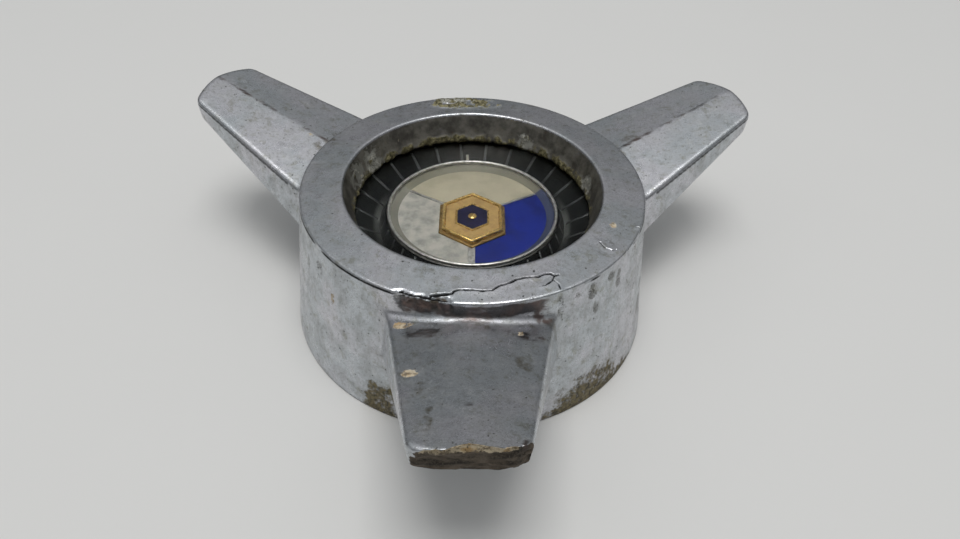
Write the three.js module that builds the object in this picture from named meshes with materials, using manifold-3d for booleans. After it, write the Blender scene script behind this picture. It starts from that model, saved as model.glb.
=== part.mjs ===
// Three-eared wheel cover spinner with a medallion under a clear lens.
//
// Millimetres, +Z up. The origin is the centre of the base plane on the hub axis, and the part
// rests on that plane. The three ears point to -Y (front), and to the back left and back right.
// The spinner is one die casting. Everything else goes into its barrel from the rear, stacked
// against the lip of the well, and a backing plate with three screws closes the barrel.

import * as THREE from "three";
import { mergeVertices } from "three/addons/utils/BufferGeometryUtils.js";
import Module from "manifold-3d";

const wasm = await Module();
wasm.setup();

// ---------------------------------------------------------------- driving dimensions

const ROUND_STEPS = 72; // sides of the large round pieces
const SMALL_STEPS = 20; // sides of screws, washers and holes
const EAR_ANGLES = [270, 30, 150]; // degrees about +Z
const BOSS_ANGLES = [90, 210, 330]; // mounting bosses, between the ears

const HUB_BASE_RADIUS = 46;
const HUB_TOP_RADIUS = 42;
const HUB_HEIGHT = 37.5; // outer edge of the top ring
const EDGE_ROUND = 0.7; // rounding of the top ring's edges
const RING_CROWN = 0.9; // the top ring rises this much towards the well
const WELL_TOP_RADIUS = 31.8;
const WELL_FLOOR_RADIUS = 29.1; // clear opening over the lens
const SHELF_Z = 31.15; // rear side of the well's lip, where the lens seats
const BARREL_RADIUS = 33.6; // bore for the medallion pack
const BARREL_REAR_Z = 20; // flat rear face round the barrel
const CAVITY_RADIUS = 41.6; // rear hollow at the barrel's rear face
const CAVITY_BASE_RADIUS = 42.6; // rear hollow at the base plane

const EAR_ROOT = 36; // distance from the axis where an ear starts, inside the hub's wall
const EAR_TIP = 83.2; // apex of the tip arc
const EAR_TIP_ARC_RADIUS = 24;
const EAR_SLICES = 8; // slices across an ear, an even number so that one meets the ridge
const EAR_REFERENCE = 42; // distance from the axis that the ear's lines below start from
// half width or height at the reference, and its change for each mm outwards
const EAR_TOP_HALF_WIDTH = { at: 17.6, slope: -0.175 };
const EAR_TOP_EDGE_Z = { at: 31.3, slope: 0.254 };
const EAR_RIDGE_Z = { at: 33.6, slope: 0.221 };
const EAR_BOTTOM_HALF_WIDTH = { at: 19.1, slope: -0.231 };
const EAR_BOTTOM_Z = { at: 20.6, slope: 0.377 };

const BOSS_CIRCLE = 38.5; // radius of the mounting bosses' circle
const BOSS_RADIUS = 4.2;
const BOSS_HOLE_RADIUS = 1.7;
const BOSS_HOLE_DEPTH = 14;

const SCREW_CIRCLE = 37.3; // radius of the retainer screws' circle
const SCREW_SHANK_RADIUS = 1.5;
const SCREW_HOLE_RADIUS = 1.8;
const SCREW_HOLE_TOP_Z = 28;
const SCREW_TIP_Z = 27;
const SCREW_HEAD_RADIUS = 2.6;
const SCREW_HEAD_HEIGHT = 1.8;
const SCREW_SLOT = { width: 0.7, depth: 0.8 };
const WASHER_RADIUS = 3.0;
const WASHER_HOLE_RADIUS = 1.8;
const WASHER_THICKNESS = 0.8;
const WASHER_SPLIT = 0.5;

const SEAT_GAP = 0.1; // between flat pieces of the medallion pack
const FIT_GAP = 0.3; // between pieces that fit round each other
const LENS_THICKNESS = 1.0;
const PACK_RADIUS = BARREL_RADIUS - FIT_GAP; // outer radius of lens, gasket and dial ring
const GASKET_INNER_RADIUS = 30.9;
const GASKET_THICKNESS = 0.8;
const DIAL_BOTTOM_Z = 24.2;
const DIAL_LIP = { radius: 30.2, width: 0.4, z: 29.7 }; // top of the dial's outer cone
const DIAL_VALLEY = { radius: 23.4, z: 25.37 };
const DIAL_BORE_RADIUS = 21.7;
const DISH_RADIUS = 21.4;
const DISH_RIM_Z = 28.9;
const DISH_WALL = { top: 20.6, bottom: 19.3 }; // radii of the sloping wall inside the rim
const DISH_FLOOR_Z = 27.5;
const BEAD = { radius: 21.05, section: 0.44, z: 29.5 };
const INLAY_TOP_Z = 28.0;
const INLAY_RADIUS = 18.95;
const FRONT_DIVIDER_WIDTH = 1.5;
const SIDE_DIVIDER_WIDTH = 0.6;
const DIVIDER_GAP = 0.1;
const EMBLEM_RADIUS = 8.6; // corner radius of the hexagonal emblem, before its stretch
const EMBLEM_STRETCH = 1.15; // along Y
const EMBLEM_Y = -2.4; // the emblem sits low on the medallion
const EMBLEM_BASE_THICKNESS = 0.45;
const EMBLEM_FRAME_WIDTH = 0.9;
const EMBLEM_FRAME_THICKNESS = 0.85;
const EMBLEM_FIELD_THICKNESS = 0.45;
const EMBLEM_CORE_RADIUS = 4.3;
const EMBLEM_CORE_THICKNESS = 0.6;
const EMBLEM_PIP_RADIUS = 1.1;
const EMBLEM_PIP_THICKNESS = 0.35;
const BACKING_PLATE_RADIUS = 40.2;
const BACKING_PLATE_THICKNESS = 1.2;
const PLATE_NOTCH_RADIUS = BOSS_RADIUS + 0.8;
const PAD_THICKNESS = 3.8;

// ---------------------------------------------------------------- materials

const material = (color, roughness, metalness) =>
  new THREE.MeshStandardMaterial({ color, roughness, metalness });

const worn_chrome = () => material(0x8f9298, 0.35, 0.9);
const clear_acrylic = () => {
  const lens = material(0xf2f4f2, 0.05, 0.0);
  lens.transparent = true;
  lens.opacity = 0.25;
  return lens;
};
const black_gloss = () => material(0x0b0d0e, 0.12, 0.0);
const silver_trim = () => material(0xb9bab8, 0.25, 0.9);
const cream_enamel = () => material(0xa79f88, 0.4, 0.0);
const white_enamel = () => material(0xa9a9a2, 0.4, 0.0);
const blue_enamel = () => material(0x1d2c80, 0.4, 0.0);
const navy_enamel = () => material(0x1c1b3c, 0.35, 0.0);
const tan_enamel = () => material(0xa8884e, 0.45, 0.0);
const gold_plate = () => material(0xb08c46, 0.35, 0.8);
const black_rubber = () => material(0x1c1c1c, 0.8, 0.0);
const zinc_steel = () => material(0x8e8d85, 0.45, 0.8);

// ---------------------------------------------------------------- helpers

const radians = THREE.MathUtils.degToRad;
const at = (line, distance) => line.at + line.slope * (distance - EAR_REFERENCE);

function toSolid(geometry) {
  const bare = geometry.clone();
  bare.deleteAttribute("normal");
  bare.deleteAttribute("uv");
  const merged = mergeVertices(bare, 1e-4);
  return new wasm.Manifold(new wasm.Mesh({
    numProp: 3,
    vertProperties: Float32Array.from(merged.attributes.position.array),
    triVerts: Uint32Array.from(merged.index.array),
  }));
}

function toGeometry(solid) {
  const mesh = solid.getMesh();
  const geometry = new THREE.BufferGeometry();
  geometry.setAttribute("position", new THREE.BufferAttribute(mesh.vertProperties, 3));
  geometry.setIndex(new THREE.BufferAttribute(mesh.triVerts, 1));
  geometry.computeVertexNormals();
  return geometry;
}

// A body of revolution about +Z from closed [radius, z] points, listed counter-clockwise
// with radius to the right and z up.
function turned(points, steps = ROUND_STEPS) {
  const profile = [...points, points[0]].map(([radius, z]) => new THREE.Vector2(radius, z));
  const geometry = new THREE.LatheGeometry(profile, steps);
  geometry.rotateX(Math.PI / 2);
  return geometry;
}

function washerShape(inner, outer, z0, z1, steps = ROUND_STEPS) {
  return turned([[inner, z0], [outer, z0], [outer, z1], [inner, z1]], steps);
}

function disc(radius, z0, z1, steps = ROUND_STEPS) {
  const geometry = new THREE.CylinderGeometry(radius, radius, z1 - z0, steps);
  geometry.rotateX(Math.PI / 2);
  geometry.translate(0, 0, (z0 + z1) / 2);
  return geometry;
}

function onCircle(geometry, radius, degrees) {
  geometry.translate(radius, 0, 0);
  geometry.rotateZ(radians(degrees));
  return geometry;
}

function flatPlate(shape, z0, z1) {
  const geometry = new THREE.ExtrudeGeometry(shape, {
    depth: z1 - z0,
    bevelEnabled: false,
    curveSegments: 24,
  });
  geometry.translate(0, 0, z0);
  return geometry;
}

// The emblem's hexagon, with corners towards +Y and -Y, stretched along Y.
function hexagon(cornerRadius) {
  const corners = [];
  for (let side = 0; side < 6; side += 1) {
    const angle = radians(90 + 60 * side);
    const x = cornerRadius * Math.cos(angle);
    const y = EMBLEM_Y + EMBLEM_STRETCH * cornerRadius * Math.sin(angle);
    corners.push(new THREE.Vector2(x, y));
  }
  return corners;
}

const object = new THREE.Group();

function add(name, geometry, finish) {
  const mesh = new THREE.Mesh(geometry, finish);
  mesh.name = name;
  object.add(mesh);
}

// ---------------------------------------------------------------- spinner casting

function hubGeometry() {
  return turned([
    [WELL_FLOOR_RADIUS, 0],
    [HUB_BASE_RADIUS, 0],
    [HUB_TOP_RADIUS, HUB_HEIGHT - EDGE_ROUND],
    [HUB_TOP_RADIUS - EDGE_ROUND * 0.3, HUB_HEIGHT - EDGE_ROUND * 0.3],
    [HUB_TOP_RADIUS - EDGE_ROUND, HUB_HEIGHT],
    [WELL_TOP_RADIUS + EDGE_ROUND, HUB_HEIGHT + RING_CROWN],
    [WELL_TOP_RADIUS, HUB_HEIGHT + RING_CROWN - EDGE_ROUND],
    [WELL_FLOOR_RADIUS, SHELF_Z],
  ]);
}

// One ear along +X: a crowned top with a centre ridge, drafted sides and a rising underside,
// ending in a rounded tip. It is a row of four-cornered slices across the ear's width, each
// running from the root to its own point on the tip arc.
function earGeometry() {
  const point = (distance, fraction, isTop) => {
    const halfWidth = at(isTop ? EAR_TOP_HALF_WIDTH : EAR_BOTTOM_HALF_WIDTH, distance);
    const ridge = at(EAR_RIDGE_Z, distance);
    const fall = ridge - at(EAR_TOP_EDGE_Z, distance);
    const z = isTop ? ridge - fall * Math.abs(fraction) : at(EAR_BOTTOM_Z, distance);
    return [distance, halfWidth * fraction, z];
  };
  const positions = [];
  for (let slice = 0; slice <= EAR_SLICES; slice += 1) {
    const fraction = -1 + (2 * slice) / EAR_SLICES;
    const halfWidth = at(EAR_TOP_HALF_WIDTH, EAR_TIP) * fraction;
    const drop = EAR_TIP_ARC_RADIUS - Math.sqrt(EAR_TIP_ARC_RADIUS ** 2 - halfWidth ** 2);
    const tip = EAR_TIP - drop;
    positions.push(...point(EAR_ROOT, fraction, true), ...point(tip, fraction, true));
    positions.push(...point(tip, fraction, false), ...point(EAR_ROOT, fraction, false));
  }
  const triangles = [];
  const quad = (a, b, c, d) => triangles.push(a, b, c, a, c, d);
  for (let slice = 0; slice < EAR_SLICES; slice += 1) {
    for (let side = 0; side < 4; side += 1) {
      const here = slice * 4 + side;
      const next = slice * 4 + ((side + 1) % 4);
      quad(here, next, next + 4, here + 4);
    }
  }
  const last = EAR_SLICES * 4;
  quad(3, 2, 1, 0);
  quad(last, last + 1, last + 2, last + 3);
  const geometry = new THREE.BufferGeometry();
  geometry.setAttribute("position", new THREE.Float32BufferAttribute(positions, 3));
  geometry.setIndex(triangles);
  return geometry;
}

// The barrel bore and the rear hollow, as one body that is cut away.
function hollowGeometry() {
  const below = -1;
  return turned([
    [0, below],
    [CAVITY_BASE_RADIUS, below],
    [CAVITY_BASE_RADIUS, 0],
    [CAVITY_RADIUS, BARREL_REAR_Z],
    [BARREL_RADIUS, BARREL_REAR_Z],
    [BARREL_RADIUS, SHELF_Z],
    [0, SHELF_Z],
  ]);
}

function spinnerCasting() {
  let casting = toSolid(hubGeometry());
  for (const angle of EAR_ANGLES) {
    casting = casting.add(toSolid(onCircle(earGeometry(), 0, angle)));
  }
  casting = casting.subtract(toSolid(hollowGeometry()));
  for (const angle of BOSS_ANGLES) {
    const boss = disc(BOSS_RADIUS, 0, BARREL_REAR_Z + 1, SMALL_STEPS);
    casting = casting.add(toSolid(onCircle(boss, BOSS_CIRCLE, angle)));
  }
  for (const angle of BOSS_ANGLES) {
    const hole = disc(BOSS_HOLE_RADIUS, -1, BOSS_HOLE_DEPTH, SMALL_STEPS);
    casting = casting.subtract(toSolid(onCircle(hole, BOSS_CIRCLE, angle)));
  }
  for (const angle of EAR_ANGLES) {
    const hole = disc(SCREW_HOLE_RADIUS, BARREL_REAR_Z - 1, SCREW_HOLE_TOP_Z, SMALL_STEPS);
    casting = casting.subtract(toSolid(onCircle(hole, SCREW_CIRCLE, angle)));
  }
  return toGeometry(casting);
}

// ---------------------------------------------------------------- medallion pack

const LENS_FRONT_Z = SHELF_Z - SEAT_GAP;
const LENS_REAR_Z = LENS_FRONT_Z - LENS_THICKNESS;
const GASKET_TOP_Z = LENS_REAR_Z - SEAT_GAP;
const GASKET_REAR_Z = GASKET_TOP_Z - GASKET_THICKNESS;
const DIAL_LAND_Z = GASKET_REAR_Z - SEAT_GAP;

function dialRing() {
  return turned([
    [DIAL_BORE_RADIUS, DIAL_BOTTOM_Z],
    [PACK_RADIUS, DIAL_BOTTOM_Z],
    [PACK_RADIUS, DIAL_LAND_Z],
    [DIAL_LIP.radius + DIAL_LIP.width, DIAL_LAND_Z],
    [DIAL_LIP.radius + DIAL_LIP.width, DIAL_LIP.z],
    [DIAL_LIP.radius, DIAL_LIP.z],
    [DIAL_VALLEY.radius, DIAL_VALLEY.z],
    [DIAL_BORE_RADIUS + DIVIDER_GAP, DISH_RIM_Z],
    [DIAL_BORE_RADIUS, DISH_RIM_Z],
  ]);
}

function medallionDish() {
  return turned([
    [0, DIAL_BOTTOM_Z],
    [DISH_RADIUS, DIAL_BOTTOM_Z],
    [DISH_RADIUS, DISH_RIM_Z],
    [DISH_WALL.top, DISH_RIM_Z],
    [DISH_WALL.bottom, INLAY_TOP_Z],
    [DISH_WALL.bottom, DISH_FLOOR_Z],
    [0, DISH_FLOOR_Z],
  ]);
}

function beadRing() {
  const geometry = new THREE.TorusGeometry(BEAD.radius, BEAD.section, 8, ROUND_STEPS);
  geometry.translate(0, 0, BEAD.z);
  return geometry;
}

const DIVIDERS = [
  { angle: 270, width: FRONT_DIVIDER_WIDTH },
  { angle: 30, width: SIDE_DIVIDER_WIDTH },
  { angle: 150, width: SIDE_DIVIDER_WIDTH },
];

// The field between two dividers: its two straight edges run beside them to the round edge.
function inlay(from, to) {
  const edge = (divider, side) => {
    const offset = side * (divider.width / 2 + DIVIDER_GAP);
    const along = new THREE.Vector2(1, 0).rotateAround(new THREE.Vector2(), radians(divider.angle));
    const across = new THREE.Vector2(-along.y, along.x).multiplyScalar(offset);
    return { along, across };
  };
  const first = edge(from, 1);
  const last = edge(to, -1);
  // where the two offset lines cross: first.across + t * first.along lies on the last line
  const normal = new THREE.Vector2(-last.along.y, last.along.x);
  const reach = normal.dot(last.across.clone().sub(first.across)) / normal.dot(first.along);
  const corner = first.across.clone().addScaledVector(first.along, reach);
  const start = radians(from.angle) + Math.asin(first.across.length() / INLAY_RADIUS);
  const end = radians(to.angle) - Math.asin(last.across.length() / INLAY_RADIUS);
  const shape = new THREE.Shape();
  shape.moveTo(corner.x, corner.y);
  shape.lineTo(INLAY_RADIUS * Math.cos(start), INLAY_RADIUS * Math.sin(start));
  shape.absarc(0, 0, INLAY_RADIUS, start, end, false);
  shape.closePath();
  return flatPlate(shape, DISH_FLOOR_Z + SEAT_GAP, INLAY_TOP_Z);
}

function dividerSpider() {
  const z0 = DISH_FLOOR_Z + SEAT_GAP;
  let spider = null;
  for (const divider of DIVIDERS) {
    const bar = new THREE.BoxGeometry(INLAY_RADIUS, divider.width, INLAY_TOP_Z - z0);
    bar.translate(INLAY_RADIUS / 2, 0, (z0 + INLAY_TOP_Z) / 2);
    bar.rotateZ(radians(divider.angle));
    spider = spider ? spider.add(toSolid(bar)) : toSolid(bar);
  }
  return toGeometry(spider);
}

const EMBLEM_BASE_Z = INLAY_TOP_Z + SEAT_GAP;
const EMBLEM_FACE_Z = EMBLEM_BASE_Z + EMBLEM_BASE_THICKNESS + SEAT_GAP;

function hexagonPlate(cornerRadius, z0, z1) {
  return flatPlate(new THREE.Shape(hexagon(cornerRadius)), z0, z1);
}

function hexagonRing(outerRadius, innerRadius, z0, z1) {
  const shape = new THREE.Shape(hexagon(outerRadius));
  shape.holes.push(new THREE.Path(hexagon(innerRadius).reverse()));
  return flatPlate(shape, z0, z1);
}

function addEmblem() {
  const frameInner = EMBLEM_RADIUS - EMBLEM_FRAME_WIDTH;
  add("emblem_base", hexagonPlate(EMBLEM_RADIUS, EMBLEM_BASE_Z, EMBLEM_FACE_Z - SEAT_GAP), gold_plate());
  add(
    "emblem_frame",
    hexagonRing(EMBLEM_RADIUS, frameInner, EMBLEM_FACE_Z, EMBLEM_FACE_Z + EMBLEM_FRAME_THICKNESS),
    gold_plate(),
  );
  add(
    "emblem_field",
    hexagonRing(
      frameInner - SEAT_GAP,
      EMBLEM_CORE_RADIUS + SEAT_GAP,
      EMBLEM_FACE_Z,
      EMBLEM_FACE_Z + EMBLEM_FIELD_THICKNESS,
    ),
    tan_enamel(),
  );
  const coreTop = EMBLEM_FACE_Z + EMBLEM_CORE_THICKNESS;
  add("emblem_core", hexagonPlate(EMBLEM_CORE_RADIUS, EMBLEM_FACE_Z, coreTop), navy_enamel());
  const pipBottom = coreTop + SEAT_GAP;
  const pip = disc(EMBLEM_PIP_RADIUS, pipBottom, pipBottom + EMBLEM_PIP_THICKNESS, SMALL_STEPS);
  pip.translate(0, EMBLEM_Y, 0);
  add("emblem_pip", pip, gold_plate());
}

function addMedallionPack() {
  const gasket = washerShape(GASKET_INNER_RADIUS, PACK_RADIUS, GASKET_REAR_Z, GASKET_TOP_Z);
  add("lens", disc(PACK_RADIUS, LENS_REAR_Z, LENS_FRONT_Z), clear_acrylic());
  add("lens_gasket", gasket, black_rubber());
  add("dial_ring", dialRing(), black_gloss());
  add("medallion_dish", medallionDish(), silver_trim());
  add("bead_ring", beadRing(), silver_trim());
  add("divider_spider", dividerSpider(), silver_trim());
  const [front, right, left] = DIVIDERS;
  add("inlay_cream", inlay(right, left), cream_enamel());
  add("inlay_white", inlay(left, front), white_enamel());
  add("inlay_blue", inlay({ ...front, angle: front.angle - 360 }, right), blue_enamel());
  addEmblem();
}

// ---------------------------------------------------------------- closing parts

const PLATE_FRONT_Z = BARREL_REAR_Z - SEAT_GAP;
const PLATE_REAR_Z = PLATE_FRONT_Z - BACKING_PLATE_THICKNESS;
const WASHER_FRONT_Z = PLATE_REAR_Z - SEAT_GAP;
const WASHER_REAR_Z = WASHER_FRONT_Z - WASHER_THICKNESS;
const HEAD_FRONT_Z = WASHER_REAR_Z - SEAT_GAP;
const HEAD_REAR_Z = HEAD_FRONT_Z - SCREW_HEAD_HEIGHT;

function backingPlate() {
  let plate = toSolid(disc(BACKING_PLATE_RADIUS, PLATE_REAR_Z, PLATE_FRONT_Z));
  const cut = (radius, circle, angle) => {
    const tool = disc(radius, PLATE_REAR_Z - 1, PLATE_FRONT_Z + 1, SMALL_STEPS);
    plate = plate.subtract(toSolid(onCircle(tool, circle, angle)));
  };
  for (const angle of BOSS_ANGLES) {
    cut(PLATE_NOTCH_RADIUS, BOSS_CIRCLE, angle);
  }
  for (const angle of EAR_ANGLES) {
    cut(SCREW_HOLE_RADIUS, SCREW_CIRCLE, angle);
  }
  return toGeometry(plate);
}

// A pan head screw along +Z with its head to the rear and a straight driver slot.
function screw() {
  const crown = HEAD_REAR_Z + SCREW_HEAD_HEIGHT * 0.35;
  const body = turned([
    [0, HEAD_REAR_Z],
    [SCREW_HEAD_RADIUS * 0.7, HEAD_REAR_Z],
    [SCREW_HEAD_RADIUS, crown],
    [SCREW_HEAD_RADIUS, HEAD_FRONT_Z],
    [SCREW_SHANK_RADIUS, HEAD_FRONT_Z],
    [SCREW_SHANK_RADIUS, SCREW_TIP_Z - SCREW_SHANK_RADIUS],
    [SCREW_SHANK_RADIUS * 0.4, SCREW_TIP_Z],
    [0, SCREW_TIP_Z],
  ], SMALL_STEPS);
  const slot = new THREE.BoxGeometry(SCREW_HEAD_RADIUS * 3, SCREW_SLOT.width, SCREW_SLOT.depth * 2);
  slot.translate(0, 0, HEAD_REAR_Z);
  return toGeometry(toSolid(body).subtract(toSolid(slot)));
}

function lockWasher() {
  const ring = washerShape(
    WASHER_HOLE_RADIUS, WASHER_RADIUS, WASHER_REAR_Z, WASHER_FRONT_Z, SMALL_STEPS,
  );
  const split = new THREE.BoxGeometry(WASHER_RADIUS * 2, WASHER_SPLIT, WASHER_THICKNESS * 4);
  split.translate(WASHER_RADIUS, 0, WASHER_REAR_Z);
  return toGeometry(toSolid(ring).subtract(toSolid(split)));
}

function addClosingParts() {
  const padTop = DIAL_BOTTOM_Z - SEAT_GAP;
  add("foam_pad", disc(PACK_RADIUS, padTop - PAD_THICKNESS, padTop), black_rubber());
  add("backing_plate", backingPlate(), zinc_steel());
  EAR_ANGLES.forEach((angle, index) => {
    add(`retainer_screw_${index + 1}`, onCircle(screw(), SCREW_CIRCLE, angle), zinc_steel());
    add(`lock_washer_${index + 1}`, onCircle(lockWasher(), SCREW_CIRCLE, angle), zinc_steel());
  });
}

// ---------------------------------------------------------------- assembly

add("spinner_casting", spinnerCasting(), worn_chrome());
addMedallionPack();
addClosingParts();

export default object;
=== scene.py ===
"""Looks of the three-eared wheel cover spinner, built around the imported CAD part.

Lengths in the shape code are millimetres in the part's frame, and MM turns them into metres.
The casting's visible skin is one closed surface drawn round a distance field: hub, well, ears,
bosses, fillets, the broken ear tip and the corrosion are all terms of that field.
"""

import math

import bmesh
import bpy
import numpy as np
from mathutils import Matrix, Vector


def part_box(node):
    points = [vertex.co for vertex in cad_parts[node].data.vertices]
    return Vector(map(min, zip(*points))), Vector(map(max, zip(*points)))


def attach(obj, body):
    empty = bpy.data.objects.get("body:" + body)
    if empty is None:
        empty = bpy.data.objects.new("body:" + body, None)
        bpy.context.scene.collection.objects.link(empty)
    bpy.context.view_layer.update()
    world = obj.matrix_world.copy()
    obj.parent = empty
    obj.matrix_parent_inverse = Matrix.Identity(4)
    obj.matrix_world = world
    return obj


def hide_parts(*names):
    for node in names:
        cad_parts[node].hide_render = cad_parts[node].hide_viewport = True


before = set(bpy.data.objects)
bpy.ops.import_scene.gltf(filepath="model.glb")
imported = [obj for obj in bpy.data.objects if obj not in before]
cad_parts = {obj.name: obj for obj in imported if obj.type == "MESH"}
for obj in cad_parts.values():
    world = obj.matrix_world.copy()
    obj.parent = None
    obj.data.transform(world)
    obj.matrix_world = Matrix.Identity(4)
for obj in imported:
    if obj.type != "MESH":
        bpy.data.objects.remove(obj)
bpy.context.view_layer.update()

MM = 0.001

# ------------------------------------------------------------------ sizes from the frame

CASTING_LOW, CASTING_HIGH = (np.array(corner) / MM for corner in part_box("spinner_casting"))
LENS_LOW, LENS_HIGH = (np.array(corner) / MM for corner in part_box("lens"))
DIAL_LOW, DIAL_HIGH = (np.array(corner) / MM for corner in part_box("dial_ring"))
DISH_LOW, DISH_HIGH = (np.array(corner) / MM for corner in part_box("medallion_dish"))
INLAY_LOW, INLAY_HIGH = (np.array(corner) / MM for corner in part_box("inlay_cream"))
RIM_Z = DISH_HIGH[2]

HUB_HEIGHT = 37.5
HUB_BASE_RADIUS = 46.0
HUB_TOP_RADIUS = 42.0
RING_CROWN = 0.9
WELL_TOP_RADIUS = 31.8
WELL_FLOOR_RADIUS = 29.1
SHELF_Z = 31.15
BARREL_RADIUS = 33.6
BARREL_REAR_Z = 20.0
CAVITY_RADIUS = 41.6
CAVITY_BASE_RADIUS = 42.6
EAR_TIP = -CASTING_LOW[1]
EAR_TIP_ARC = 24.0
EAR_REFERENCE = 42.0  # distance from the axis that the ear's lines below start from
# half width or height at the reference, and its change for each mm outwards
EAR_TOP_HALF = (17.8, -0.175)
EAR_BOTTOM_HALF = (19.1, -0.231)
EAR_TOP_EDGE_Z = (31.3, 0.254)
EAR_RIDGE_Z = (33.6, 0.221)
EAR_BOTTOM_Z = (20.6, 0.377)
ARRIS_ROUND = 1.3
RIDGE_ROUND = 0.5
EDGE_ROUND = 0.4
EAR_FILLET = 2.6  # between an ear and the hub
EAR_ANGLES = (270, 30, 150)
BOSS_ANGLES = (90, 210, 330)
BOSS_CIRCLE = 38.5
BOSS_RADIUS = 4.2
BOSS_HOLE_RADIUS = 1.7
BOSS_HOLE_DEPTH = 14.0
SCREW_CIRCLE = 37.3
SCREW_HOLE_RADIUS = 1.8
SCREW_HOLE_TOP = 28.0

# medallion pack
DIAL_LIP = (30.2, 29.7)  # radius and z of the top of the dial's outer cone
DIAL_VALLEY = (23.4, 25.37)
DIAL_BORE = 21.7
CONE_RAYS = 26
WALL_RAYS = 34
BRIGHT_TICK = 93.5  # degrees about +Z
DISH_WALL_TOP = 20.6
DISH_WALL_BOTTOM = 19.3
FIELDS = (("cream", 30, 150), ("white", 150, 270), ("blue", 270, 390))  # name, start and end angle
DIVIDERS = {270: 1.5, 30: 0.6, 150: 0.6}  # width of the bar at each angle
DIVIDER_GAP = 0.1
INLAY_RADIUS = 18.95
EMBLEM_STRETCH = 1.15
EMBLEM_Y = (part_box("emblem_pip")[0][1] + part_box("emblem_pip")[1][1]) / 2 / MM

# gasket, rear plate and fasteners
GASKET_BORE = 30.9
PLATE_NOTCH = 5.0
PLATE_RIB_RADIUS = 24.0
SCREW_HEAD_HEIGHT = 1.8
SCREW_SHANK = 1.5
SCREW_SLOT = 0.7
THREAD_PITCH = 0.7
THREAD_DEPTH = 0.16
WASHER_HOLE = 1.8
WASHER_SPLIT = 0.5
WASHER_SPRING = 0.12

# studio
WALL_GLOW = (0.11, 0.113, 0.116)
CEILING_GLOW = (0.52, 0.53, 0.535)
CAMERA_ELEVATION = math.radians(35.85)
CAMERA_DISTANCE = 201.6 * MM
CAMERA_ROLL = math.radians(1.62)
CAMERA_TURN = math.radians(0.36)
CAMERA_AIM = Vector((-0.00835, 0.10374, -1.0))
CAMERA_LENS = 30.68

SKIN_STEP = 0.42  # size of the skin's faces


# ------------------------------------------------------------------ numbers and noise


def smooth_max(a, b, k):
    """The larger of a and b, with the crease rounded over a width k."""
    h = np.clip(0.5 + 0.5 * (a - b) / k, 0, 1)
    return b + (a - b) * h + k * h * (1 - h)


def smooth_min(a, b, k):
    """The smaller of a and b, with the crease rounded over a width k."""
    return -smooth_max(-a, -b, k)


def ramp(value, low, high):
    """0 below low, 1 above high, smooth between."""
    t = np.clip((value - low) / (high - low), 0, 1)
    return t * t * (3 - 2 * t)


def lattice(ix, iy, iz, seed):
    """One repeatable random number in 0..1 for each lattice point."""
    mixed = ix * 374761393 + iy * 668265263 + iz * 2147483647 + seed * 1274126177
    mixed = (mixed ^ (mixed >> 13)) * 1274126177
    mixed = mixed ^ (mixed >> 16)
    return (mixed & 0xFFFFFF) / float(0xFFFFFF)


def value_noise(points, size, seed):
    """Smooth noise in -1..1 with features about size millimetres across."""
    scaled = points / size
    base = np.floor(scaled).astype(np.int64)
    f = scaled - base
    f = f * f * (3 - 2 * f)
    total = np.zeros(len(points))
    for dx in (0, 1):
        for dy in (0, 1):
            for dz in (0, 1):
                weight = (
                    (f[:, 0] if dx else 1 - f[:, 0])
                    * (f[:, 1] if dy else 1 - f[:, 1])
                    * (f[:, 2] if dz else 1 - f[:, 2])
                )
                corner = lattice(base[:, 0] + dx, base[:, 1] + dy, base[:, 2] + dz, seed)
                total += weight * corner
    return total * 2 - 1


def layered_noise(points, size, seed, layers=3):
    """Value noise with ever finer and weaker layers added."""
    total = np.zeros(len(points))
    strength = 1.0
    for layer in range(layers):
        total += strength * value_noise(points, size / 2**layer, seed + layer)
        strength *= 0.5
    return total


def distance_to_path(points, path):
    """Distance from each point to a polyline, in the plane of the first two axes."""
    best = np.full(len(points), 1e9)
    for start, end in zip(path, path[1:]):
        a = np.array(start, float)
        along = np.array(end, float) - a
        relative = points[:, :2] - a
        t = np.clip(relative @ along / (along @ along), 0, 1)
        gap = relative - t[:, None] * along
        best = np.minimum(best, np.hypot(gap[:, 0], gap[:, 1]))
    return best


# ------------------------------------------------------------------ the casting's shape


def ear_frame(points, angle):
    """Distance outwards, across and up for an ear at that angle."""
    c, s = math.cos(math.radians(angle)), math.sin(math.radians(angle))
    x, y, z = points[..., 0], points[..., 1], points[..., 2]
    return x * c + y * s, y * c - x * s, z


def ear_line(line, out):
    """One of the ear's lines at a distance outwards from the hub axis."""
    start, slope = line
    return start + slope * (out - EAR_REFERENCE)


def ear_field(points, angle):
    """Signed distance to the ear at that angle, before its tip breaks."""
    out, across, z = ear_frame(points, angle)
    top_half = ear_line(EAR_TOP_HALF, out)
    bottom_half = ear_line(EAR_BOTTOM_HALF, out)
    edge_z = ear_line(EAR_TOP_EDGE_Z, out)
    ridge_z = ear_line(EAR_RIDGE_Z, out)
    bottom_z = ear_line(EAR_BOTTOM_Z, out)
    width = np.sqrt(across**2 + RIDGE_ROUND**2) - RIDGE_ROUND
    top = (z - (ridge_z - (ridge_z - edge_z) * width / top_half)) * 0.96
    bottom = (bottom_z - z) * 0.93
    level = (edge_z - z) / (edge_z - bottom_z)
    side = (np.abs(across) - (top_half + (bottom_half - top_half) * level)) * 0.97
    centre = EAR_TIP - EAR_TIP_ARC
    tip = np.hypot(np.maximum(out - centre, 0), across) - EAR_TIP_ARC
    body = smooth_max(top, side, ARRIS_ROUND)
    body = smooth_max(body, tip, ARRIS_ROUND * 1.3)
    body = smooth_max(body, bottom, 0.7)
    return np.maximum(body, 30.0 - out)


def hub_wall_radius(z):
    """Outer radius of the hub at a height."""
    return HUB_BASE_RADIUS - (HUB_BASE_RADIUS - HUB_TOP_RADIUS) * z / HUB_HEIGHT


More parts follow.
